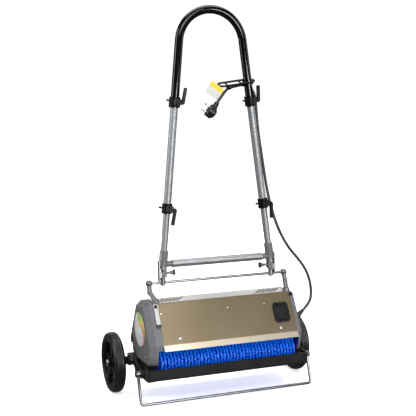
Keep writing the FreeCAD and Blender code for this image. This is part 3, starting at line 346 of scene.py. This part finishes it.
# ABS, moulded: deep black with a satin skin and a 1 mm grain.
black_abs = moulded_finish("black_abs_moulded", "#0d0e0f", 0.38, 0.25, 1.0)
coat(black_abs, "lower_guards", "rocker_switch")


# ---- frame inside the casing ---------------------------------------------------------------------
# Side plates, rails, the brush roof and the motor with its saddle, behind the covers and seen
# only from below and through the slots: zinc-plated and black powder-coated steel, cast
# aluminium and a rubber belt.
plated_steel, tree, shader, place = new_finish(
    "zinc_plated_steel", Metallic=1.0, Roughness=0.36
)
spangle = add(tree, "ShaderNodeTexVoronoi", {"Vector": place, "Scale": 140.0})
tone = add(tree, "ShaderNodeMix", {
    "Factor": spangle.outputs["Distance"], 6: linear("#9a9c9d"), 7: linear("#c6c8c8")
}, data_type="RGBA")
wire(tree, shader, {"Base Color": tone.outputs[2]})
coat(plated_steel, "side_plates")

black_powder = crinkle_finish("black_powder_coat", "#0c0d0e", "#1b1c1e", 0.38)
coat(black_powder, "inner_frame", "pivot_pins")

cast_aluminium, tree, shader, place = new_finish("cast_aluminium", Metallic=1.0, Roughness=0.55)
pits = add(tree, "ShaderNodeTexNoise", {"Vector": place, "Scale": 700.0, "Detail": 3.0})
bump = add(tree, "ShaderNodeBump", {
    "Height": pits.outputs["Fac"], "Strength": 0.3, "Distance": 0.0004
})
wire(tree, shader, {"Base Color": linear("#8f9294"), "Normal": bump.outputs[0]})
coat(cast_aluminium, "motor_housing", "motor_rotor")

belt_rubber, tree, shader, place = new_finish("toothed_belt_rubber", Roughness=0.7)
# Dark bands across the belt are painted shade in the grooves between its teeth.
painted_groove_shade = add(tree, "ShaderNodeTexWave", {"Vector": place, "Scale": 60.0}, bands_direction="Z")
tone = add(tree, "ShaderNodeMix", {
    "Factor": painted_groove_shade.outputs["Fac"], 6: linear("#101010"), 7: linear("#26262a")
}, data_type="RGBA")
wire(tree, shader, {"Base Color": tone.outputs[2]})
coat(belt_rubber, "drive_belt", "idler_pulley")


# ---- brushes ---------------------------------------------------------------------------------
# Each brush is a nylon core drilled in spiral rows 10 mm apart, with a tuft of seven stiff blue
# bristles stapled in each hole. The tufts stand straight out, spread slightly and end level.
blue_nylon, tree, shader, place = new_finish(
    "blue_nylon_bristle", Roughness=0.4, Specular_IOR_Level=0.25, Subsurface_Weight=0.12,
    Subsurface_Radius=(0.001, 0.002, 0.006),
)
# The bristles are painted darker towards their roots, a painted shade deep among the tufts, and
# lighter towards the tips, broken into streaks by noise.
up_bristle = add(tree, "ShaderNodeAttribute", attribute_name="tip")
streak = add(tree, "ShaderNodeTexNoise", {"Vector": place, "Scale": 400.0, "Detail": 1.0})
painted_root_shade = add(tree, "ShaderNodeMath", {0: up_bristle.outputs["Fac"], 1: streak.outputs["Fac"]},
          operation="MULTIPLY")
ramp = add(tree, "ShaderNodeMapRange", {"Value": painted_root_shade.outputs[0], "From Max": 0.5})
tone = add(tree, "ShaderNodeMix", {
    "Factor": ramp.outputs[0], 6: linear("#0030d0"), 7: linear("#0a7dff")
}, data_type="RGBA")
wire(tree, shader, {"Base Color": tone.outputs[2]})

blue_core, tree, shader, place = new_finish("blue_nylon_core", Roughness=0.5)
# Dark spots in the core's colour are painted shade in its drilled holes.
painted_hole_shade = add(tree, "ShaderNodeTexVoronoi", {"Vector": place, "Scale": 110.0})
tone = add(tree, "ShaderNodeMix", {
    "Factor": painted_hole_shade.outputs["Distance"], 6: linear("#04208c"), 7: linear("#0838c8")
}, data_type="RGBA")
wire(tree, shader, {"Base Color": tone.outputs[2]})
coat(blue_core, "front_brush_core", "rear_brush_core")


def tuft_mesh(long):
    """Seven three-sided bristles that spread towards their tips."""
    shape = bmesh.new()
    mark = shape.verts.layers.float.new("tip")
    for i in range(7):
        turn = math.radians(60 * i)
        in_middle = i == 6
        at = Vector((math.cos(turn), math.sin(turn), 0)) * (0.0 if in_middle else 1.0)
        rings = []
        for height, out, thick in ((0.0, 0.0007, 0.0008), (long, 0.0025, 0.0014)):
            ring = []
            for k in range(3):
                edge = math.radians(120 * k + 40 * i)
                point = at * out + Vector((math.cos(edge), math.sin(edge), 0)) * thick
                made = shape.verts.new(point + Vector((0, 0, height)))
                made[mark] = height / long
                ring.append(made)
            rings.append(ring)
        for k in range(3):
            low, high = rings
            n = (k + 1) % 3
            shape.faces.new((low[k], low[n], high[n], high[k]))
        shape.faces.new(rings[1])
    mesh = bpy.data.meshes.new("tuft")
    shape.to_mesh(mesh)
    shape.free()
    return mesh


def tree_with(name, *inputs):
    """An empty Geometry Nodes tree with a mesh in and out and these named inputs."""
    tree = bpy.data.node_groups.new(name, "GeometryNodeTree")
    tree.interface.new_socket("Geometry", in_out="INPUT", socket_type="NodeSocketGeometry")
    tree.interface.new_socket("Geometry", in_out="OUTPUT", socket_type="NodeSocketGeometry")
    for label, kind in inputs:
        tree.interface.new_socket(label, in_out="INPUT", socket_type="NodeSocket" + kind)
    return tree, add(tree, "NodeGroupInput").outputs


def end_tree(tree, geometry, material):
    """Instances made real, and their material."""
    real = add(tree, "GeometryNodeRealizeInstances", {0: geometry})
    done = add(tree, "GeometryNodeSetMaterial", {0: real.outputs[0], "Material": material})
    add(tree, "NodeGroupOutput", {0: done.outputs[0]})


def run_tree(name, tree, values, mesh=None):
    """The tree's result as a plain mesh object."""
    source = bpy.data.objects.new(name, mesh or bpy.data.meshes.new(name))
    bpy.context.scene.collection.objects.link(source)
    modifier = source.modifiers.new(name, "NODES")
    modifier.node_group = tree
    for item in tree.interface.items_tree:
        if item.in_out == "INPUT" and item.name in values:
            modifier[item.identifier] = values[item.name]
    return plain_mesh(source, name)


def brush_tree():
    """Tufts in spiral rows round the X axis: Count of them, Around to a turn, Pitch apart."""
    tree, given = tree_with(
        "spiral_tufts", ("Tuft", "Object"), ("Count", "Int"), ("Around", "Float"),
        ("Pitch", "Float"), ("Start", "Float"), ("Root", "Float"), ("Twist", "Float"),
    )
    cloud = add(tree, "GeometryNodePoints", {"Count": given["Count"]})
    number = add(tree, "GeometryNodeInputIndex").outputs[0]
    rows = add(tree, "ShaderNodeMath", {0: number, 1: given["Around"]}, operation="DIVIDE")
    row = add(tree, "ShaderNodeMath", {0: rows.outputs[0]}, operation="FLOOR")
    part = add(tree, "ShaderNodeMath", {0: rows.outputs[0]}, operation="FRACT")
    twist = add(tree, "ShaderNodeMath", {
        0: row.outputs[0], 1: given["Twist"], 2: part.outputs[0]
    }, operation="MULTIPLY_ADD")
    angle = add(tree, "ShaderNodeMath", {0: twist.outputs[0], 1: 2 * math.pi},
                operation="MULTIPLY")
    sine = add(tree, "ShaderNodeMath", {0: angle.outputs[0]}, operation="SINE")
    cosine = add(tree, "ShaderNodeMath", {0: angle.outputs[0]}, operation="COSINE")
    outward = add(tree, "ShaderNodeCombineXYZ", {"Y": sine.outputs[0], "Z": cosine.outputs[0]})
    at_root = add(tree, "ShaderNodeVectorMath", {
        0: outward.outputs[0], "Scale": given["Root"]
    }, operation="SCALE")
    along = add(tree, "ShaderNodeMath", {
        0: row.outputs[0], 1: given["Pitch"], 2: given["Start"]
    }, operation="MULTIPLY_ADD")
    shift = add(tree, "ShaderNodeCombineXYZ", {"X": along.outputs[0]})
    where = add(tree, "ShaderNodeVectorMath", {0: at_root.outputs[0], 1: shift.outputs[0]})
    placed = add(tree, "GeometryNodeSetPosition", {
        "Geometry": cloud.outputs[0], "Position": where.outputs[0]
    })
    lean = add(tree, "FunctionNodeRandomValue", {0: (-0.05,) * 3, 1: (0.05,) * 3, "Seed": 7},
               data_type="FLOAT_VECTOR")
    aim = add(tree, "ShaderNodeVectorMath", {0: outward.outputs[0], 1: lean.outputs[0]})
    turned = add(tree, "FunctionNodeAlignRotationToVector", {"Vector": aim.outputs[0]}, axis="Z")
    tuft = add(tree, "GeometryNodeObjectInfo", {"Object": given["Tuft"]})
    tufts = add(tree, "GeometryNodeInstanceOnPoints", {
        "Points": placed.outputs[0], "Instance": tuft.outputs["Geometry"],
        "Rotation": turned.outputs[0],
    })
    end_tree(tree, tufts.outputs[0], blue_nylon)
    return tree


CORE_R, SUNK = 0.021, 0.001
TUFT_PITCH, AROUND = 0.0100, 34
BARE_ENDS = 0.006
spiral_tufts = brush_tree()
for brush in ("front", "rear"):
    low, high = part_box(brush + "_bristles")
    middle, reach = (low + high) / 2, (high.z - low.z) / 2
    rows = int((high.x - low.x - BARE_ENDS) / TUFT_PITCH)
    twist = 0.5 / AROUND if brush == "front" else -0.5 / AROUND
    tuft_source = bpy.data.objects.new("tuft", tuft_mesh(reach - CORE_R + SUNK))
    bpy.context.scene.collection.objects.link(tuft_source)
    bristles = run_tree(brush + "_tufts", spiral_tufts, {
        "Tuft": tuft_source, "Count": rows * AROUND, "Around": float(AROUND),
        "Pitch": TUFT_PITCH, "Start": -(rows - 1) * TUFT_PITCH / 2, "Root": CORE_R - SUNK,
        "Twist": twist,
    })
    bpy.data.objects.remove(tuft_source)
    bristles.data.transform(Matrix.Translation(middle))
    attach(bristles, brush + "_brush")
    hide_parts(brush + "_bristles")


# ---- trays -----------------------------------------------------------------------------------
# The debris trays are black polypropylene extrusions with welded ends, slid in under the covers.
black_pp = moulded_finish("black_polypropylene", "#101113", 0.4, 0.2, 1.6)
coat(black_pp, "front_tray", "rear_tray")


# ---- wheels ----------------------------------------------------------------------------------
# Solid rubber tyres with a rounded shoulder and shallow rings, on black nylon rims with five
# spokes; each turns on a stub axle welded to a pressed steel arm, under a plated cap.
tyre_rubber, tree, shader, place = new_finish(
    "tyre_rubber_black", Base_Color=linear("#0d0d0e"), Specular_IOR_Level=0.4
)
scuff = add(tree, "ShaderNodeTexNoise", {"Vector": place, "Scale": 90.0, "Detail": 5.0})
dull = add(tree, "ShaderNodeMapRange", {
    "Value": scuff.outputs["Fac"], "From Min": 0.3, "From Max": 0.7,
    "To Min": 0.3, "To Max": 0.48,
})
bump = add(tree, "ShaderNodeBump", {
    "Height": scuff.outputs["Fac"], "Strength": 0.15, "Distance": 0.0004
})
wire(tree, shader, {"Roughness": dull.outputs[0], "Normal": bump.outputs[0]})


def tyre(side):
    """The tyre's section spun round its axle."""
    low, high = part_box(side + "_tyre")
    rim_low, rim_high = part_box(side + "_rim")
    middle, outer, half = (low + high) / 2, (high.z - low.z) / 2, (high.x - low.x) / 2
    inner = (rim_high.z - rim_low.z) / 2 + 0.0001
    wall = [
        (0.0018, inner), (0.0006, inner + 0.0012), (0.0006, inner + 0.0040),
        (0.0014, inner + 0.0048), (0.0014, inner + 0.0056), (0.0004, inner + 0.0064),
        (0.0, outer - 0.0125), (0.0010, outer - 0.0078), (0.0034, outer - 0.0039),
        (0.0072, outer - 0.0013), (0.0116, outer - 0.0003), (0.0126, outer - 0.0014),
        (0.0140, outer - 0.0014), (0.0150, outer),
    ]
    section = [(-half + x, r) for x, r in wall] + [(half - x, r) for x, r in reversed(wall)]
    shape = bmesh.new()
    points = [shape.verts.new((x, 0, r)) for x, r in section]
    edges = [shape.edges.new(pair) for pair in zip(points, points[1:] + points[:1])]
    bmesh.ops.spin(shape, geom=points + edges, cent=(0, 0, 0), axis=(1, 0, 0),
                   angle=2 * math.pi, steps=96, use_merge=False)
    bmesh.ops.remove_doubles(shape, verts=shape.verts, dist=0.00001)
    bmesh.ops.recalc_face_normals(shape, faces=shape.faces)
    bmesh.ops.translate(shape, verts=shape.verts, vec=middle)
    mesh = bpy.data.meshes.new(side + "_ribbed_tyre")
    shape.to_mesh(mesh)
    shape.free()
    mesh.materials.append(tyre_rubber)
    mesh.shade_smooth()
    made = bpy.data.objects.new(mesh.name, mesh)
    bpy.context.scene.collection.objects.link(made)
    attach(made, side + "_wheel")
    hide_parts(side + "_tyre")


tyre("left")
tyre("right")

rim_nylon = moulded_finish("black_nylon_rim", "#0c0d0e", 0.3, 0.12, 1.4)
coat(rim_nylon, "left_rim", "right_rim")

coat(black_powder, "left_wheel_arm", "right_wheel_arm")

chrome, tree, shader, place = new_finish(
    "chromed_cap", Base_Color=linear("#d7d9da"), Metallic=1.0
)
smudge = add(tree, "ShaderNodeTexNoise", {"Vector": place, "Scale": 120.0, "Detail": 4.0})
haze = add(tree, "ShaderNodeMapRange", {
    "Value": smudge.outputs["Fac"], "To Min": 0.12, "To Max": 0.34
})
wire(tree, shader, {"Roughness": haze.outputs[0]})
coat(chrome, "left_hub_cap", "right_hub_cap")


# ---- stand and handle rod -----------------------------------------------------------------------
# Both are 8 mm drawn steel wire, bright zinc-plated: grey with fine lines along the drawing.
drawn_wire, tree, shader, place = new_finish("drawn_steel_wire", Metallic=1.0, Roughness=0.3)
drawn = add(tree, "ShaderNodeMapping", {"Vector": place, "Scale": (30.0, 900.0, 900.0)})
lines = add(tree, "ShaderNodeTexNoise", {"Vector": drawn.outputs[0], "Scale": 1.0})
tone = add(tree, "ShaderNodeMix", {
    "Factor": lines.outputs["Fac"], 6: linear("#6b6d6e"), 7: linear("#989a9a")
}, data_type="RGBA")
wire(tree, shader, {"Base Color": tone.outputs[2]})
coat(drawn_wire, "kickstand", "pivot_rod")


# ---- outlet, lever, screws ------------------------------------------------------------------------
# The outlet and its spring flap are glossy black thermoplastic. The park lever is a plated strip
# with a rubber tip. Screws are pan heads with a cross recess, pressed into threaded rivets.
outlet_plastic = moulded_finish("black_outlet_plastic", "#0b0c0d", 0.28, 0.1, 0.9)
coat(outlet_plastic, "outlet_body", "outlet_flap")

RUBBER_TIP = 0.0105
lever_finish, tree, shader, place = new_finish("plated_lever_rubber_tip", Roughness=0.36)
low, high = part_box("park_lever")
height = add(tree, "ShaderNodeSeparateXYZ", {0: place}).outputs["Z"]
bare = add(tree, "ShaderNodeMath", {0: height, 1: low.z + RUBBER_TIP}, operation="GREATER_THAN")
tone = add(tree, "ShaderNodeMix", {
    "Factor": bare.outputs[0], 6: linear("#0c0c0d"), 7: linear("#9b9d9d")
}, data_type="RGBA")
wire(tree, shader, {"Base Color": tone.outputs[2], "Metallic": bare.outputs[0]})
coat(lever_finish, "park_lever")


def islands(node):
    """The separate solids of one CAD node: middle, axis and size of each round head."""
    shape = bmesh.new()
    shape.from_mesh(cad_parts[node].data)
    bmesh.ops.remove_doubles(shape, verts=shape.verts, dist=0.00001)
    seen, found = set(), []
    for first in shape.verts:
        if first in seen:
            continue
        seen.add(first)
        group, edge = [], [first]
        while edge:
            vert = edge.pop()
            group.append(vert)
            for link in vert.link_edges:
                other = link.other_vert(vert)
                if other not in seen:
                    seen.add(other)
                    edge.append(other)
        faces = list(dict.fromkeys(face for vert in group for face in vert.link_faces))
        flat = max(faces, key=lambda face: face.calc_area())
        normal = flat.normal.copy()
        reach = [vert.co.dot(normal) for vert in group]
        middle = sum((vert.co for vert in group), Vector()) / len(group)
        spread = max(
            ((v.co - middle) - normal * (v.co - middle).dot(normal)).length for v in group
        )
        found.append((middle, normal, spread, min(reach), max(reach)))
    shape.free()
    return found


SIDES = 16


def pan_head():
    """A domed head, radius and height 1, with a cross recess and SIDES sides."""
    shape = bmesh.new()
    bmesh.ops.create_circle(shape, radius=1.0, segments=SIDES)
    ring = sorted(shape.verts, key=lambda v: math.atan2(v.co.y, v.co.x))
    for radius, height in ((1.0, 0.45), (0.86, 0.80), (0.58, 1.0)):
        upper = []
        for vert in ring:
            turn = math.atan2(vert.co.y, vert.co.x)
            upper.append(shape.verts.new(
                (radius * math.cos(turn), radius * math.sin(turn), height)
            ))
        for i in range(SIDES):
            n = (i + 1) % SIDES
            shape.faces.new((ring[i], ring[n], upper[n], upper[i]))
        ring = upper
    inner = []
    for i in range(SIDES):
        turn = math.atan2(ring[i].co.y, ring[i].co.x)
        deep = 0.42 if i % 4 == 0 else 0.16
        inner.append(shape.verts.new((deep * math.cos(turn), deep * math.sin(turn), 1.0)))
    for i in range(SIDES):
        n = (i + 1) % SIDES
        shape.faces.new((ring[i], ring[n], inner[n], inner[i]))
    floor_ring = [shape.verts.new((v.co.x * 0.7, v.co.y * 0.7, 0.45)) for v in inner]
    for i in range(SIDES):
        n = (i + 1) % SIDES
        shape.faces.new((inner[i], inner[n], floor_ring[n], floor_ring[i]))
    shape.faces.new(floor_ring)
    bmesh.ops.recalc_face_normals(shape, faces=shape.faces)
    mesh = bpy.data.meshes.new("pan_head")
    shape.to_mesh(mesh)
    shape.free()
    return mesh


def screw_tree(material):
    """A head on each point, turned to its normal and as wide and tall as the point says."""
    tree, given = tree_with("screws_in_place", ("Head", "Object"))
    head = add(tree, "GeometryNodeObjectInfo", {"Object": given["Head"]})
    facing = add(tree, "GeometryNodeInputNamedAttribute", {"Name": "facing"},
                 data_type="FLOAT_VECTOR")
    wide = add(tree, "GeometryNodeInputNamedAttribute", {"Name": "wide"},
               data_type="FLOAT_VECTOR")
    turned = add(tree, "FunctionNodeAlignRotationToVector", {"Vector": facing.outputs[0]},
                 axis="Z")
    spun = add(tree, "FunctionNodeRandomValue", {2: 0.0, 3: 1.5, "Seed": 3})
    spin = add(tree, "ShaderNodeCombineXYZ", {"Z": spun.outputs[1]})
    drive = add(tree, "FunctionNodeRotateRotation", {
        0: turned.outputs[0], 1: spin.outputs[0]
    }, rotation_space="LOCAL")
    heads = add(tree, "GeometryNodeInstanceOnPoints", {
        "Points": given["Geometry"], "Instance": head.outputs["Geometry"],
        "Rotation": drive.outputs[0], "Scale": wide.outputs[0],
    })
    end_tree(tree, heads.outputs[0], material)
    return tree


def screws(name, seats, material, body, node=None):
    """Heads at (foot, normal, radius, height), on one body."""
    points = bpy.data.meshes.new(name)
    points.from_pydata([seat[0] for seat in seats], [], [])
    for label, values in (
        ("facing", [seat[1] for seat in seats]),
        ("wide", [(seat[2], seat[2], seat[3]) for seat in seats]),
    ):
        layer = points.attributes.new(label, "FLOAT_VECTOR", "POINT")
        for item, value in zip(layer.data, values):
            item.vector = value
    head = bpy.data.objects.new("pan_head", pan_head())
    bpy.context.scene.collection.objects.link(head)
    made = run_tree(name, screw_tree(material), {"Head": head}, points)
    bpy.data.objects.remove(head)
    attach(made, body)
    if node:
        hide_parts(node)
    return made


RIVET_R = 0.005
bright_seats, black_seats = [], []
middle_of_machine = sum(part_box("side_plates"), Vector()) / 2
outlet_low, outlet_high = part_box("outlet_body")
for middle, normal, spread, lowest, highest in islands("fasteners"):
    out = normal if normal.dot(middle - middle_of_machine) > 0 else -normal
    tall = highest - lowest
    on_outlet = outlet_low.x < middle.x < outlet_high.x and middle.z > outlet_low.z
    seats = black_seats if on_outlet or spread > RIVET_R else bright_seats
    seats.append((middle - out * tall / 2, out, spread, tall))
screws("casing_screws", bright_seats, chrome, "chassis", "fasteners")
screws("black_screws", black_seats, outlet_plastic, "chassis")


# ---- dial label ------------------------------------------------------------------------------
# A printed film disc on the left cover: pale grey middle with short scale marks, inside a band
# that runs from green over yellow and orange to red. It carries no words.
CENTRE_DROP, RING_FROM, MARKS_BELOW = 0.36, 0.62, -0.3
COLOUR_EDGE = 0.012
label_film, tree, shader, place = new_finish("printed_dial_film", Roughness=0.35)
low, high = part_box("dial_label")
middle, reach = (low + high) / 2, (high.z - low.z) / 2
centred = add(tree, "ShaderNodeVectorMath", {0: place, 1: middle}, operation="SUBTRACT")
part = add(tree, "ShaderNodeSeparateXYZ", {0: centred.outputs[0]})
flat = add(tree, "ShaderNodeCombineXYZ", {"X": part.outputs["Y"], "Y": part.outputs["Z"]})
lowered = add(tree, "ShaderNodeVectorMath", {0: flat.outputs[0], 1: (0, CENTRE_DROP * reach, 0)})
away = add(tree, "ShaderNodeVectorMath", {0: lowered.outputs[0]}, operation="LENGTH")
share = add(tree, "ShaderNodeMath", {0: away.outputs["Value"], 1: reach}, operation="DIVIDE")
around = add(tree, "ShaderNodeMath", {0: part.outputs["Y"], 1: part.outputs["Z"]},
             operation="ARCTAN2")
sweep = add(tree, "ShaderNodeMapRange", {
    "Value": around.outputs[0], "From Min": 0.35, "From Max": -math.pi, "To Max": 1.0
})
band = add(tree, "ShaderNodeMapRange", {
    "Value": share.outputs[0], "From Min": 0.55, "From Max": 1.0, "To Min": 0.55, "To Max": 0.0
})
blend_in = add(tree, "ShaderNodeMath", {0: sweep.outputs[0], 1: band.outputs[0]})
colours = add(tree, "ShaderNodeValToRGB", {"Fac": blend_in.outputs[0]})
stops = colours.color_ramp.elements
stops[0].position, stops[0].color = 0.0, linear("#5f8f4e")
stops[1].position, stops[1].color = 1.0, linear("#b07a66")
for position, code in ((0.22, "#8a9a55"), (0.4, "#b9a255"), (0.6, "#a9803f"), (0.8, "#a3684c")):
    stop = stops.new(position)
    stop.color = linear(code)
front_half = add(tree, "ShaderNodeMath", {0: part.outputs["Y"], 1: COLOUR_EDGE}, operation="LESS_THAN")
ring_tone = add(tree, "ShaderNodeMix", {
    "Factor": front_half.outputs[0], 6: linear("#a9a39a"), 7: colours.outputs[0]
}, data_type="RGBA")
in_ring = add(tree, "ShaderNodeMath", {0: share.outputs[0], 1: RING_FROM}, operation="GREATER_THAN")
marks = add(tree, "ShaderNodeTexBrick", {
    "Vector": flat.outputs[0], "Color1": linear("#a5acb3"), "Color2": linear("#a9b0b6"),
    "Mortar": linear("#777d83"), "Scale": 45.0, "Mortar Size": 0.03,
})
in_band = add(tree, "ShaderNodeMath", {0: part.outputs["Z"], 1: MARKS_BELOW * reach},
              operation="LESS_THAN")
centre_tone = add(tree, "ShaderNodeMix", {
    "Factor": in_band.outputs[0], 6: linear("#a6adb4"), 7: marks.outputs[0]
}, data_type="RGBA")
tone = add(tree, "ShaderNodeMix", {
    "Factor": in_ring.outputs[0], 6: centre_tone.outputs[2], 7: ring_tone.outputs[2]
}, data_type="RGBA")
wire(tree, shader, {"Base Color": tone.outputs[2]})
coat(label_film, "dial_label")


# ---- handle brackets and leg yokes -----------------------------------------------------------------
# The brackets are zinc castings with a ball-like head round the rod. Each yoke is a bent strip
# assembly: grey painted block, bright outer strip and cup, and a dark neck into the cross tube.
zinc_cast, tree, shader, place = new_finish("zinc_casting", Metallic=1.0, Roughness=0.5)
mottle = add(tree, "ShaderNodeTexNoise", {"Vector": place, "Scale": 160.0, "Detail": 5.0})
tone = add(tree, "ShaderNodeMix", {
    "Factor": mottle.outputs["Fac"], 6: linear("#404243"), 7: linear("#8f9191")
}, data_type="RGBA")
bump = add(tree, "ShaderNodeBump", {
    "Height": mottle.outputs["Fac"], "Strength": 0.3, "Distance": 0.0008
})
wire(tree, shader, {"Base Color": tone.outputs[2], "Normal": bump.outputs[0]})
coat(zinc_cast, "handle_brackets", "left_pull_knob", "right_pull_knob")

OUTER_STRIP, CUP_OVER, CUP_UNDER = 0.0085, 0.008, 0.009
yoke_metal, tree, shader, place = new_finish("yoke_steel_part_painted", Roughness=0.38)
part = add(tree, "ShaderNodeSeparateXYZ", {0: place})
side_of = add(tree, "ShaderNodeMath", {0: part.outputs["X"]}, operation="ABSOLUTE")
low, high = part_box("right_leg_yoke")
rod_low, rod_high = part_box("pivot_rod")
outer = add(tree, "ShaderNodeMath", {0: side_of.outputs[0], 1: high.x - OUTER_STRIP},
            operation="GREATER_THAN")
under = add(tree, "ShaderNodeMath", {0: part.outputs["Z"], 1: rod_high.z + CUP_OVER},
            operation="LESS_THAN")
bright = add(tree, "ShaderNodeMath", {0: outer.outputs[0], 1: under.outputs[0]},
             operation="MAXIMUM")
tip = add(tree, "ShaderNodeMath", {0: part.outputs["Z"], 1: rod_low.z - CUP_UNDER},
          operation="GREATER_THAN")
bright = add(tree, "ShaderNodeMath", {0: bright.outputs[0], 1: tip.outputs[0]},
             operation="MULTIPLY")
scratch = add(tree, "ShaderNodeTexNoise", {"Vector": place, "Scale": 320.0, "Detail": 4.0})
bare = add(tree, "ShaderNodeMix", {
    "Factor": scratch.outputs["Fac"], 6: linear("#7d8081"), 7: linear("#a9abab")
}, data_type="RGBA")
dark = add(tree, "ShaderNodeMix", {
    "Factor": scratch.outputs["Fac"], 6: linear("#3a3b3d"), 7: linear("#57585a")
}, data_type="RGBA")
tone = add(tree, "ShaderNodeMix", {
    "Factor": bright.outputs[0], 6: dark.outputs[2], 7: bare.outputs[2]
}, data_type="RGBA")
wire(tree, shader, {"Base Color": tone.outputs[2], "Metallic": bright.outputs[0]})
coat(yoke_metal, "left_leg_yoke", "right_leg_yoke")


# ---- handle tubes ------------------------------------------------------------------------------
# Drawn aluminium tubes, clear anodised: silver grey and satin, with faint lines along the tube
# and small scuffs where the upper ones slide.
def tube_finish(name, stretch):
    """Satin anodising, its lines drawn out along the axis with the small stretch."""
    material, tree, shader, place = new_finish(name, Metallic=1.0)
    drawn = add(tree, "ShaderNodeMapping", {"Vector": place, "Scale": stretch})
    lines = add(tree, "ShaderNodeTexNoise", {"Vector": drawn.outputs[0], "Scale": 1.0})
    scuffs = add(tree, "ShaderNodeTexNoise", {"Vector": place, "Scale": 75.0, "Detail": 6.0})
    dull = add(tree, "ShaderNodeMapRange", {
        "Value": scuffs.outputs["Fac"], "From Min": 0.35, "From Max": 0.7,
        "To Min": 0.5, "To Max": 0.62,
    })
    tone = add(tree, "ShaderNodeMix", {
        "Factor": lines.outputs["Fac"], 6: linear("#7f8285"), 7: linear("#a6a8aa")
    }, data_type="RGBA")
    wire(tree, shader, {"Base Color": tone.outputs[2], "Roughness": dull.outputs[0]})
    return material


leg_aluminium = tube_finish("anodised_tube_upright", (900.0, 900.0, 12.0))
cross_aluminium = tube_finish("anodised_tube_level", (12.0, 900.0, 900.0))
coat(leg_aluminium, "left_lower_tube", "right_lower_tube", "left_mid_tube", "right_mid_tube")
coat(cross_aluminium, "cross_tube")


# ---- collars and cam levers -------------------------------------------------------------------
# Split clamps and their levers are glass-filled nylon, black and dull with a faint grain.
black_nylon = moulded_finish("black_nylon_clamp", "#060607", 0.34, 0.12, 1.1, 0.1)
coat(black_nylon, "left_lower_collar", "right_lower_collar", "upper_collars")
coat(black_nylon, "left_lower_lever", "right_lower_lever", "left_upper_lever",
     "right_upper_lever")


# ---- hand loop and hook --------------------------------------------------------------------------
# The loop is a bent steel tube in gloss black enamel, which shows long sharp highlights. The
# wire hook clamped to it has the same enamel.
gloss_enamel, tree, shader, place = new_finish(
    "black_gloss_enamel", Base_Color=linear("#030304"), IOR=1.5, Coat_Weight=0.15,
    Coat_Roughness=0.08, Specular_IOR_Level=0.22,
)
orange_peel = add(tree, "ShaderNodeTexNoise", {"Vector": place, "Scale": 260.0, "Detail": 2.0})
bump = add(tree, "ShaderNodeBump", {
    "Height": orange_peel.outputs["Fac"], "Strength": 0.02, "Distance": 0.0004
})
gloss = add(tree, "ShaderNodeMapRange", {
    "Value": orange_peel.outputs["Fac"], "To Min": 0.08, "To Max": 0.13
})
wire(tree, shader, {"Roughness": gloss.outputs[0], "Normal": bump.outputs[0]})
coat(gloss_enamel, "hand_loop", "cord_hook")


# ---- gland, plug and tag -----------------------------------------------------------------------
# The gland and the right-angle plug are moulded on the lead in black PVC, the plug with two
# nickel-plated pins. The tag is folded card with a yellow band, taped round the lead.
def reach_along(node, way):
    """The nearest and furthest point of a piece along a direction."""
    steps = [vert.co.dot(way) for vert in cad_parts[node].data.vertices]
    return min(steps), max(steps)


PINS, UP = Vector((-0.805, 0, 0.593)), Vector((0.593, 0, 0.805))
PIN_LONG, YELLOW_FROM = 0.0185, 0.6
plug_pvc, tree, shader, place = new_finish("black_pvc_and_nickel_pins", Specular_IOR_Level=0.35)
along = add(tree, "ShaderNodeVectorMath", {0: place, 1: PINS}, operation="DOT_PRODUCT")
pin_root = reach_along("cord_plug", PINS)[1] - PIN_LONG
nickel = add(tree, "ShaderNodeMath", {0: along.outputs["Value"], 1: pin_root},
             operation="GREATER_THAN")
grain = add(tree, "ShaderNodeTexNoise", {"Vector": place, "Scale": 900.0, "Detail": 2.0})
dull = add(tree, "ShaderNodeMapRange", {
    "Value": grain.outputs["Fac"], "To Min": 0.24, "To Max": 0.44
})
tone = add(tree, "ShaderNodeMix", {
    "Factor": nickel.outputs[0], 6: linear("#0c0d0e"), 7: linear("#d2cfc6")
}, data_type="RGBA")
wire(tree, shader, {
    "Base Color": tone.outputs[2], "Metallic": nickel.outputs[0], "Roughness": dull.outputs[0]
})
coat(black_abs, "cord_gland")
coat(plug_pvc, "cord_plug")

tag_card, tree, shader, place = new_finish("printed_tag_card", Roughness=0.6)
part = add(tree, "ShaderNodeVectorMath", {0: place, 1: UP}, operation="DOT_PRODUCT")
tag_low, tag_top = reach_along("cord_tag", UP)
yellow = add(tree, "ShaderNodeMath", {
    0: part.outputs["Value"], 1: tag_top * YELLOW_FROM + tag_low * (1 - YELLOW_FROM)
}, operation="GREATER_THAN")
fibre = add(tree, "ShaderNodeTexNoise", {"Vector": place, "Scale": 500.0, "Detail": 3.0})
white = add(tree, "ShaderNodeMix", {
    "Factor": fibre.outputs["Fac"], 6: linear("#8d8d8b"), 7: linear("#a9a9a6")
}, data_type="RGBA")
tone = add(tree, "ShaderNodeMix", {
    "Factor": yellow.outputs[0], 6: white.outputs[2], 7: linear("#c79a1e")
}, data_type="RGBA")
wire(tree, shader, {"Base Color": tone.outputs[2]})
coat(tag_card, "cord_tag")
